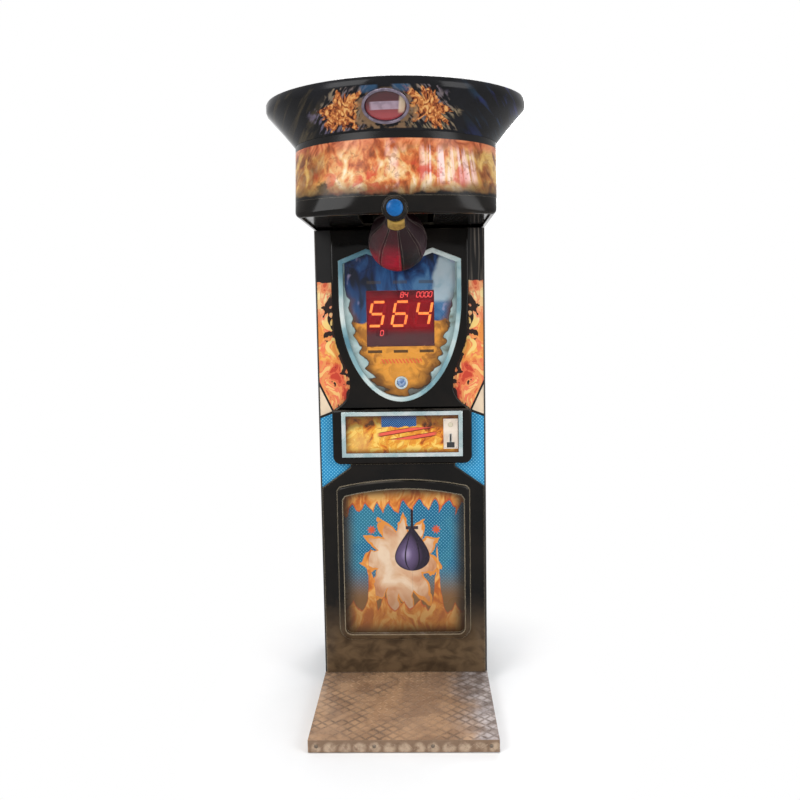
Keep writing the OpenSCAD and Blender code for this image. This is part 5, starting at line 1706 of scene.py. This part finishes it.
@dataclass
class CoinDoor:
    """The coin panel in its frame, with the coin plate and what lies behind it."""

    plate_face: float = -17.5 * MM
    screw_columns: Tuple[float, float] = (165.5 * MM, 209.5 * MM)
    screw_rows: Tuple[float, float] = (962.5 * MM, 1068.5 * MM)
    screw_radius: float = 2.6 * MM
    screw_foot: float = 0.6
    screw_height: float = 1.2 * MM
    screw_slot: Point = (3.4 * MM, 0.6 * MM, 0.3 * MM)
    slot_x: float = 187.5 * MM
    slot_z: float = 999 * MM
    lip_across: float = 10 * MM
    lip_high: float = 33 * MM
    lip_width: float = 1.6 * MM
    lip_rise: float = 1 * MM
    lip_rounding: float = 0.3 * MM

    def plate_screws(self) -> Piece:
        """Sets four small countersunk screws into the coin plate's corners."""
        mesh = bmesh.new()
        for x in self.screw_columns:
            for z in self.screw_rows:
                place = at(x, self.plate_face, z) @ turned(90, "X")
                bmesh.ops.create_cone(mesh, matrix=place, cap_ends=True, segments=20,
                                      radius1=self.screw_radius, radius2=self.screw_radius * self.screw_foot,
                                      depth=self.screw_height)
                slot = place @ at(0, 0, self.screw_height / 2) @ scaled(*self.screw_slot)
                bmesh.ops.create_cube(mesh, matrix=slot, size=1.0)
        return Shop.piece("plate_screws", mesh, "root", [Look.ALLOY], 30)

    def slot_lips(self) -> Piece:
        """Rims the coin slot with a raised metal lip."""
        mesh = bmesh.new()
        place = at(self.slot_x, self.plate_face, self.slot_z) @ turned(90, "X")
        place = place @ scaled(self.lip_across, self.lip_high, 1)
        bmesh.ops.create_grid(mesh, matrix=place, x_segments=1, y_segments=1, size=0.5)
        rim = bmesh.ops.inset_region(mesh, faces=mesh.faces[:], thickness=self.lip_width,
                                     use_even_offset=True, use_boundary=True)["faces"]
        centre = [face for face in mesh.faces if face not in rim]
        bmesh.ops.delete(mesh, geom=centre, context="FACES")
        bmesh.ops.solidify(mesh, geom=mesh.faces[:], thickness=-self.lip_rise)
        bmesh.ops.recalc_face_normals(mesh, faces=mesh.faces)
        bmesh.ops.bevel(mesh, geom=mesh.edges[:], offset=self.lip_rounding, segments=2, profile=0.5,
                        affect="EDGES", clamp_overlap=True, material=-1)
        return Shop.piece("slot_lips", mesh, "root", [Look.CHROME])

    def build(self) -> None:
        """Builds and dresses the coin section."""
        Shop.refine("coin_surround", "coin_moulding", Look.SHELL, 0.0, 38)
        Shop.refine("coin_bezel", "coin_frame", Look.CHROME, 2.2 * MM, 40, 3)
        Shop.dress(Look.COIN, "coin_panel")
        Shop.refine("coin_plate", "coin_face", Look.WHITE, 0.5 * MM)
        self.plate_screws()
        self.slot_lips()
        Shop.dress(Look.PLASTIC, "coin_mech")
        Shop.refine("coin_chute", "coin_duct", Look.ZINC, 0.3 * MM)
        Shop.refine("reject_button", "reject_cap", Look.REJECT, 0.5 * MM)
        Shop.refine("return_flap", "return_door", Look.PLASTIC, 0.2 * MM)


@dataclass
class PictureSection:
    """The lower moulding with its arched picture."""

    def build(self) -> None:
        """Builds and dresses the lower front."""
        Shop.refine("picture_surround", "picture_moulding", Look.SKIRT, 0.0, 38)
        Shop.dress(Look.PICTURE, "picture_panel")


@dataclass
class Head:
    """The drum, the crown, the badge and the start button."""

    badge: Point = (BADGE_X, -0.52443, 2.1238)
    turn: float = -3.79
    tilt: float = 129.72
    lens: Point = (65.7 * MM, 49.2 * MM, 7 * MM)
    backing: float = -5 * MM

    def badge_dome(self) -> Piece:
        """Domes the badge's clear face."""
        mesh = bmesh.new()
        place = at(*self.badge) @ turned(self.turn, "Z") @ turned(self.tilt, "X")
        bmesh.ops.create_uvsphere(mesh, matrix=place @ scaled(*self.lens), u_segments=72, v_segments=24,
                                  radius=1.0)
        bmesh.ops.bisect_plane(mesh, geom=mesh.verts[:] + mesh.edges[:] + mesh.faces[:], dist=1e-6,
                               plane_co=place @ Vector((0, 0, self.backing)),
                               plane_no=place.to_3x3() @ Vector((0, 0, -1)), clear_outer=True)
        bmesh.ops.holes_fill(mesh, edges=[e for e in mesh.edges if e.is_boundary])
        made = Shop.piece("badge_dome", mesh, "root", [Look.BADGE])
        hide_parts("badge_lens")
        return made

    def build(self) -> None:
        """Builds and dresses the head."""
        Shop.refine("drum_shell", "drum_moulding", Look.SHELL, 0.0, 30)
        Shop.refine("drum_print", "drum_sleeve", Look.DRUM, 0.0, 40)
        Shop.refine("crown_shell", "crown_moulding", Look.CROWN, 0.0, 40)
        Shop.dress(Look.SHELL, "head_lid", "head_floor")
        Shop.dress(Look.STRIP_LIGHT, "light_board")
        Shop.refine("badge_bezel", "badge_ring", Look.BEZEL, 1.6 * MM, 40, 3)
        self.badge_dome()
        Shop.refine("start_pod", "start_collar", Look.SHELL, 0.6 * MM)
        Shop.refine("start_button", "start_dome", Look.BLUE, 0.4 * MM)


@dataclass
class Swing:
    """The punch bag on its arm, and what holds and reads it."""

    pivot: Point = (0.0, FRONT - 428.86 * MM, 1836 * MM)
    droop: float = 22.8
    neck_start: float = 45 * MM
    neck: float = 36 * MM
    centre: float = 255 * MM
    radius: float = 108 * MM
    ring: float = 12 * MM
    ring_flare: float = 0.5 * MM
    shoulder: float = 35 * MM
    shoulder_flare: float = 3 * MM
    flank_end: float = 0.42
    flank_width: float = 0.93
    flank_steps: int = 8
    stretch: float = 1.04
    skin: float = 3.5 * MM
    gores: int = 8
    per_gore: int = 6
    seam_turn: float = 8.0
    cuff: float = 62 * MM
    frames: int = 20
    swell: float = 5.5 * MM
    quick_swell: float = 0.03
    quick_start: float = 30 * MM
    quick_reach: float = 80 * MM
    welt: float = 1.5 * MM
    stitch: Point = (4.2 * MM, 0.9 * MM, 0.9 * MM)
    stitch_pitch: float = 6.5 * MM
    stitch_gap: float = 0.085
    patch_start: float = 28 * MM
    patch_size: Point = (62 * MM, 46 * MM, 2.2 * MM)
    patch_sink: float = 1.2 * MM
    colours: Tuple[Look, ...] = (
        Look.BLACK_HIDE, Look.PURPLE, Look.BLACK_HIDE, Look.CRIMSON,
        Look.PURPLE, Look.BLACK_HIDE, Look.CRIMSON, Look.CRIMSON,
    )
    place: Matrix = field(init=False)

    def __post_init__(self) -> None:
        """Works out where the bag's own axis lies."""
        self.place = at(*self.pivot) @ turned(-90 - self.droop, "X")

    def outline(self, inward: float) -> List[Tuple[float, float]]:
        """The bag's radius and distance from the pivot, from neck to nose.

        Args:
            inward: How far inside the full shape.

        Returns:
            Pairs of radius and distance.
        """
        neck, full = self.neck - inward, self.radius - inward
        points = [(neck + self.ring_flare * step, self.neck_start + self.ring * step) for step in range(3)]
        start, end = self.neck_start + self.shoulder, self.centre - full * self.flank_end
        slim, wide = neck + self.shoulder_flare, full * self.flank_width
        for step in range(1, self.flank_steps):
            share = step / self.flank_steps
            ease = share * share * (3 - 2 * share)
            points.append((slim + (wide - slim) * ease, start + (end - start) * share))
        for step in range(-2, 9):
            turn = math.radians(10 * step)
            points.append((full * math.cos(turn), self.centre + full * self.stretch * math.sin(turn)))
        points.append((0.0, self.centre + full * self.stretch))
        return points

    def shell(self, inward: float) -> Mesh:
        """Spins the bag's outline round its axis.

        Args:
            inward: How far inside the full shape.

        Returns:
            The mesh, in the bag's own frame.
        """
        mesh = bmesh.new()
        verts = [mesh.verts.new((0.0, radius, along)) for radius, along in self.outline(inward)]
        edges = [mesh.edges.new(pair) for pair in zip(verts, verts[1:])]
        start = turned(-self.seam_turn, "Z")
        bmesh.ops.transform(mesh, matrix=start, verts=verts)
        bmesh.ops.spin(mesh, geom=verts + edges, cent=(0, 0, 0), axis=(0, 0, -1), angle=math.tau,
                       steps=self.gores * self.per_gore, use_merge=True, use_normal_flip=False)
        bmesh.ops.remove_doubles(mesh, verts=mesh.verts, dist=1e-5)
        bmesh.ops.recalc_face_normals(mesh, faces=mesh.faces)
        return mesh

    def turn_of(self, point: Vector) -> float:
        """A point's place round the bag, in gores from the first seam."""
        turn = math.degrees(math.atan2(point.x, point.y)) - self.seam_turn
        return (turn % 360) / (360 / self.gores)

    def inflate(self, bag: Piece) -> None:
        """Blows the bag up as cloth, held at its seams and neck, and keeps the result.

        Args:
            bag: The bag, in its own frame.
        """
        data = bag.data
        held = bag.vertex_groups.new(name="held")
        rest = [vertex.co.copy() for vertex in data.vertices]
        for vertex in data.vertices:
            share = self.turn_of(vertex.co) % 1.0
            at_seam = min(share, 1 - share) < 0.02 or vertex.co.xy.length < 1e-4
            if at_seam or vertex.co.z < self.neck_start + 2 * self.ring + 2 * MM:
                held.add([vertex.index], 1.0, "REPLACE")
        cloth = bag.modifiers.new("air", "CLOTH")
        settings = {"use_pressure": True, "uniform_pressure_force": 4.0, "vertex_group_mass": "held",
                    "tension_stiffness": 30, "compression_stiffness": 30, "bending_stiffness": 2}
        for name, value in settings.items():
            setattr(cloth.settings, name, value)
        cloth.settings.effector_weights.gravity = 0.0
        cloth.point_cache.frame_start, cloth.point_cache.frame_end = 1, self.frames
        scene = bpy.context.scene
        for frame in range(1, self.frames + 1):
            scene.frame_set(frame)
        shaped = bag.evaluated_get(bpy.context.evaluated_depsgraph_get())
        blown = [vertex.co.copy() for vertex in shaped.data.vertices]
        bag.modifiers.remove(cloth)
        scene.frame_set(1)
        for vertex, start, end in zip(data.vertices, rest, blown):
            move = end - start
            vertex.co = start + move * min(1.0, self.swell / max(move.length, 1e-9))

    def hang(self, name: str, mesh: Mesh, looks: Sequence[Look], sharp: float = 60.0) -> Piece:
        """Moves a mesh from the bag's own frame into place, and makes it a piece of the bag's body."""
        bmesh.ops.transform(mesh, matrix=self.place, verts=mesh.verts)
        return Shop.piece(name, mesh, "bag", looks, sharp)

    def bag(self) -> Piece:
        """Builds the gored leather bag."""
        mesh = self.shell(self.skin)
        data = settle("bag_start", mesh)
        soft = link("bag_start", data)
        self.inflate(soft)
        mesh = bmesh.new()
        mesh.from_mesh(data)
        bpy.data.objects.remove(soft)
        bmesh.ops.subdivide_edges(mesh, edges=mesh.edges[:], cuts=1, use_grid_fill=True, smooth=1.0)
        looks = list(dict.fromkeys(self.colours)) + [Look.MAROON]
        for face in mesh.faces:
            middle = face.calc_center_median()
            look = self.colours[int(self.turn_of(middle)) % self.gores]
            if middle.z < self.neck_start + self.cuff:
                look = Look.MAROON
            face.material_index = looks.index(look)
        made = self.hang("gored_bag", mesh, looks)
        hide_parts("punch_bag")
        return made

    def seam_line(self, number: float, lift: float) -> List[Vector]:
        """Points along one seam, in the bag's own frame.

        Args:
            number: Which seam, where a fraction lies between two.
            lift: Height above the bag's starting skin.

        Returns:
            The points, from neck to nose.
        """
        turn = math.radians(self.seam_turn + number * 360 / self.gores)
        line = []
        for radius, along in self.outline(self.skin - lift)[:-1]:
            line.append(Vector((math.sin(turn) * radius, math.cos(turn) * radius, along)))
        return line

    def piping(self) -> Piece:
        """Lays a thin raised welt along each seam."""
        mesh = bmesh.new()
        for number in range(self.gores):
            line = self.seam_line(number, 0.6 * MM)
            rings = []
            for index, point in enumerate(line):
                ahead = line[min(index + 1, len(line) - 1)] - line[max(index - 1, 0)]
                frame = ahead.to_track_quat("Z", "Y").to_matrix().to_4x4()
                ring = bmesh.ops.create_circle(mesh, cap_ends=False, segments=8, radius=self.welt,
                                               matrix=Matrix.Translation(point) @ frame)["verts"]
                rings.append(list({edge for vert in ring for edge in vert.link_edges}))
            for first, second in zip(rings, rings[1:]):
                bmesh.ops.bridge_loops(mesh, edges=first + second)
        bmesh.ops.holes_fill(mesh, edges=[e for e in mesh.edges if e.is_boundary])
        bmesh.ops.recalc_face_normals(mesh, faces=mesh.faces)
        return self.hang("bag_piping", mesh, [Look.BLACK_HIDE])

    def stitches(self) -> Piece:
        """Sews a row of stitches on both sides of each seam."""
        mesh = bmesh.new()
        for number in range(self.gores):
            for side in (-self.stitch_gap, self.stitch_gap):
                line = self.seam_line(number + side, self.stitch[2])[2:-1]
                for start, end in zip(line, line[1:]):
                    count = max(1, round((end - start).length / self.stitch_pitch))
                    frame = (end - start).to_track_quat("X", "Z").to_matrix().to_4x4() @ scaled(*self.stitch)
                    for step in range(count):
                        place = Matrix.Translation(start.lerp(end, (step + 0.5) / count)) @ frame
                        bmesh.ops.create_cube(mesh, matrix=place, size=1.0)
        return self.hang("bag_stitches", mesh, [Look.THREAD], 35)

    def patch(self) -> Piece:
        """Sews a bare yellow patch to the underside of the neck."""
        mesh = bmesh.new()
        bmesh.ops.create_grid(mesh, x_segments=14, y_segments=10, size=0.5)
        corners = [vertex for vertex in mesh.verts if len(vertex.link_edges) == 2]
        bmesh.ops.bevel(mesh, geom=corners, offset=0.16, segments=4, profile=0.5, affect="VERTICES",
                        material=-1)
        outline = self.outline(0.0)
        across, down, thick = self.patch_size
        for vertex in mesh.verts:
            along = self.neck_start + self.patch_start + vertex.co.y * down
            radius = next(
                r0 + (r1 - r0) * (along - s0) / (s1 - s0)
                for (r0, s0), (r1, s1) in zip(outline, outline[1:]) if s0 <= along <= s1
            ) - self.patch_sink
            turn = vertex.co.x * across / radius
            vertex.co = Vector((math.sin(turn) * radius, math.cos(turn) * radius, along))
        bmesh.ops.recalc_face_normals(mesh, faces=mesh.faces)
        bmesh.ops.solidify(mesh, geom=mesh.faces[:], thickness=-thick)
        bmesh.ops.recalc_face_normals(mesh, faces=mesh.faces)
        return self.hang("neck_patch", mesh, [Look.PATCH], 50)

    def build(self) -> None:
        """Builds and dresses the swing."""
        self.bag()
        self.piping()
        self.stitches()
        self.patch()
        Shop.dress(Look.PLASTIC, "opto_sensor")
        Shop.refine_all(
            ("bag_collar", "neck_collar", Look.RUBBER, 0.6),
            ("swing_arm", "swing_lever", Look.FRAME, 0.8),
            ("pivot_shaft", "pivot_bar", Look.ALLOY, 0.5),
            ("pillow_blocks", "bearing_blocks", Look.CAST, 0.8),
            ("encoder_disc", "angle_disc", Look.PLASTIC, 0.2),
            ("holding_magnet", "latch_magnet", Look.ALLOY, 0.6),
            ("bump_stops", "rubber_stops", Look.RUBBER, 0.6),
        )


@dataclass
class Studio:
    """The camera, the lamps and the floor."""

    spot: Point = (0.078, -3.1635, 1.473)
    pitch: float = 0.1026
    yaw: float = -0.0266
    roll: float = -0.0168
    lens: float = 37.0
    sensor: float = 36.0
    clip: Tuple[float, float] = (0.05, 100.0)
    floor_radius: float = 14.0
    footprint: Tuple[float, float] = (0.3, 0.46)
    lamps: Tuple[Tuple[str, Point, Point, Tuple[float, float], float], ...] = (
        ("key_lamp", (-2.6, -3.4, 3.4), (0, 0, 1.2), (2.2, 2.2), 98.0),
        ("fill_lamp", (2.9, -2.8, 2.4), (0, 0, 1.2), (1.4, 2.4), 58.0),
        ("top_lamp", (0.0, -0.6, 4.6), (0, 0, 1.0), (2.6, 2.0), 80.0),
        ("rear_lamp", (0.6, 3.6, 3.0), (0, 0, 1.2), (2.4, 2.0), 90.0),
    )

    def camera(self) -> None:
        """Sets the camera where the photograph was taken from."""
        data = bpy.data.cameras.new("studio_camera")
        data.lens, data.sensor_width = self.lens, self.sensor
        data.clip_start, data.clip_end = self.clip
        right = Vector((math.cos(self.yaw), -math.sin(self.yaw), 0.0))
        level = Vector((math.sin(self.yaw), math.cos(self.yaw), 0.0))
        ahead = level * math.cos(self.pitch) - Vector((0.0, 0.0, math.sin(self.pitch)))
        up = right.cross(ahead)
        side = math.cos(self.roll) * right + math.sin(self.roll) * up
        top = -math.sin(self.roll) * right + math.cos(self.roll) * up
        made = link("studio_camera", data)
        made.matrix_world = Matrix.Translation(self.spot) @ Matrix((side, top, -ahead)).transposed().to_4x4()
        bpy.context.scene.camera = made

    def lights(self) -> None:
        """Hangs the soft lamps."""
        for name, spot, target, size, power in self.lamps:
            data = bpy.data.lights.new(name, "AREA")
            data.shape, data.size, data.size_y, data.energy = "RECTANGLE", size[0], size[1], power
            aim = (Vector(target) - Vector(spot)).to_track_quat("-Z", "Y")
            link(name, data).matrix_world = Matrix.Translation(spot) @ aim.to_matrix().to_4x4()

    @staticmethod
    def seen(graph: Graph) -> Field:
        """Is 1 for what the camera sees, directly, in gloss or through glass."""
        path = graph.node("LightPath", {})
        seen = graph.out(path, "Is Camera Ray").most(graph.out(path, "Is Glossy Ray"))
        return seen.most(graph.out(path, "Is Transmission Ray"))

    def world(self) -> None:
        """Shows white to the camera, gloss and glass, and a soft grey to the rest."""
        world = bpy.data.worlds.new("studio_world")
        bpy.context.scene.world = world
        graph = blank(world)
        seen = self.seen(graph)
        light = graph.out(graph.node("Background", {"Color": (0.86, 0.88, 0.9), "Strength": 0.55}))
        white = graph.out(graph.node("Background", {"Color": (1.0, 1.0, 1.0), "Strength": 1.0}))
        shader = graph.out(graph.node("MixShader", {0: seen, 1: light, 2: white}))
        graph.node("OutputWorld", {"Surface": shader})

    def floor(self) -> None:
        """Lays a pale floor that keeps the shadow near the object and turns white further off."""
        mesh = bmesh.new()
        bmesh.ops.create_circle(mesh, cap_ends=True, segments=96, radius=self.floor_radius)
        data = settle("studio_floor", mesh)
        paint = bpy.data.materials.new("pale_floor")
        graph = blank(paint)
        place = graph.place()
        patches = Smudge.add(graph, Vector=place, Scale=2.0)["Mask"]
        x, y, _ = graph.parts(place)
        across = (abs(x) - self.footprint[0]).most(0.0)
        along = (abs(y + 0.02) - self.footprint[1]).most(0.0)
        away = graph.reach(across, along).rise(0.06, 0.5)
        shader = graph.node("BsdfPrincipled", {
            "Base Color": graph.mix(patches, (0.9, 0.9, 0.9), (0.93, 0.93, 0.93)),
            "Roughness": graph.span(patches, 0.75, 0.85), "Specular IOR Level": 0.1,
        })
        white = graph.node("Emission", {"Color": (1.0, 1.0, 1.0), "Strength": 1.0})
        seen = self.seen(graph)
        mixed = graph.node("MixShader", {0: seen * away, 1: graph.out(shader), 2: graph.out(white)})
        graph.node("OutputMaterial", {"Surface": graph.out(mixed)})
        data.materials.append(paint)
        link("studio_floor", data)

    def build(self) -> None:
        """Sets up the studio."""
        self.camera()
        self.lights()
        self.world()
        self.floor()
        bpy.context.scene.view_settings.view_transform = "Standard"


def main() -> None:
    """Builds the studio and every sub-assembly in order."""
    logging.basicConfig(level=logging.INFO, format="%(message)s")
    for assembly in (Studio(), Base(), Cabinet(), Display(), CoinDoor(), PictureSection(), Head(), Swing()):
        LOG.info("building %s", type(assembly).__name__)
        assembly.build()


if __name__ == "__main__":
    main()
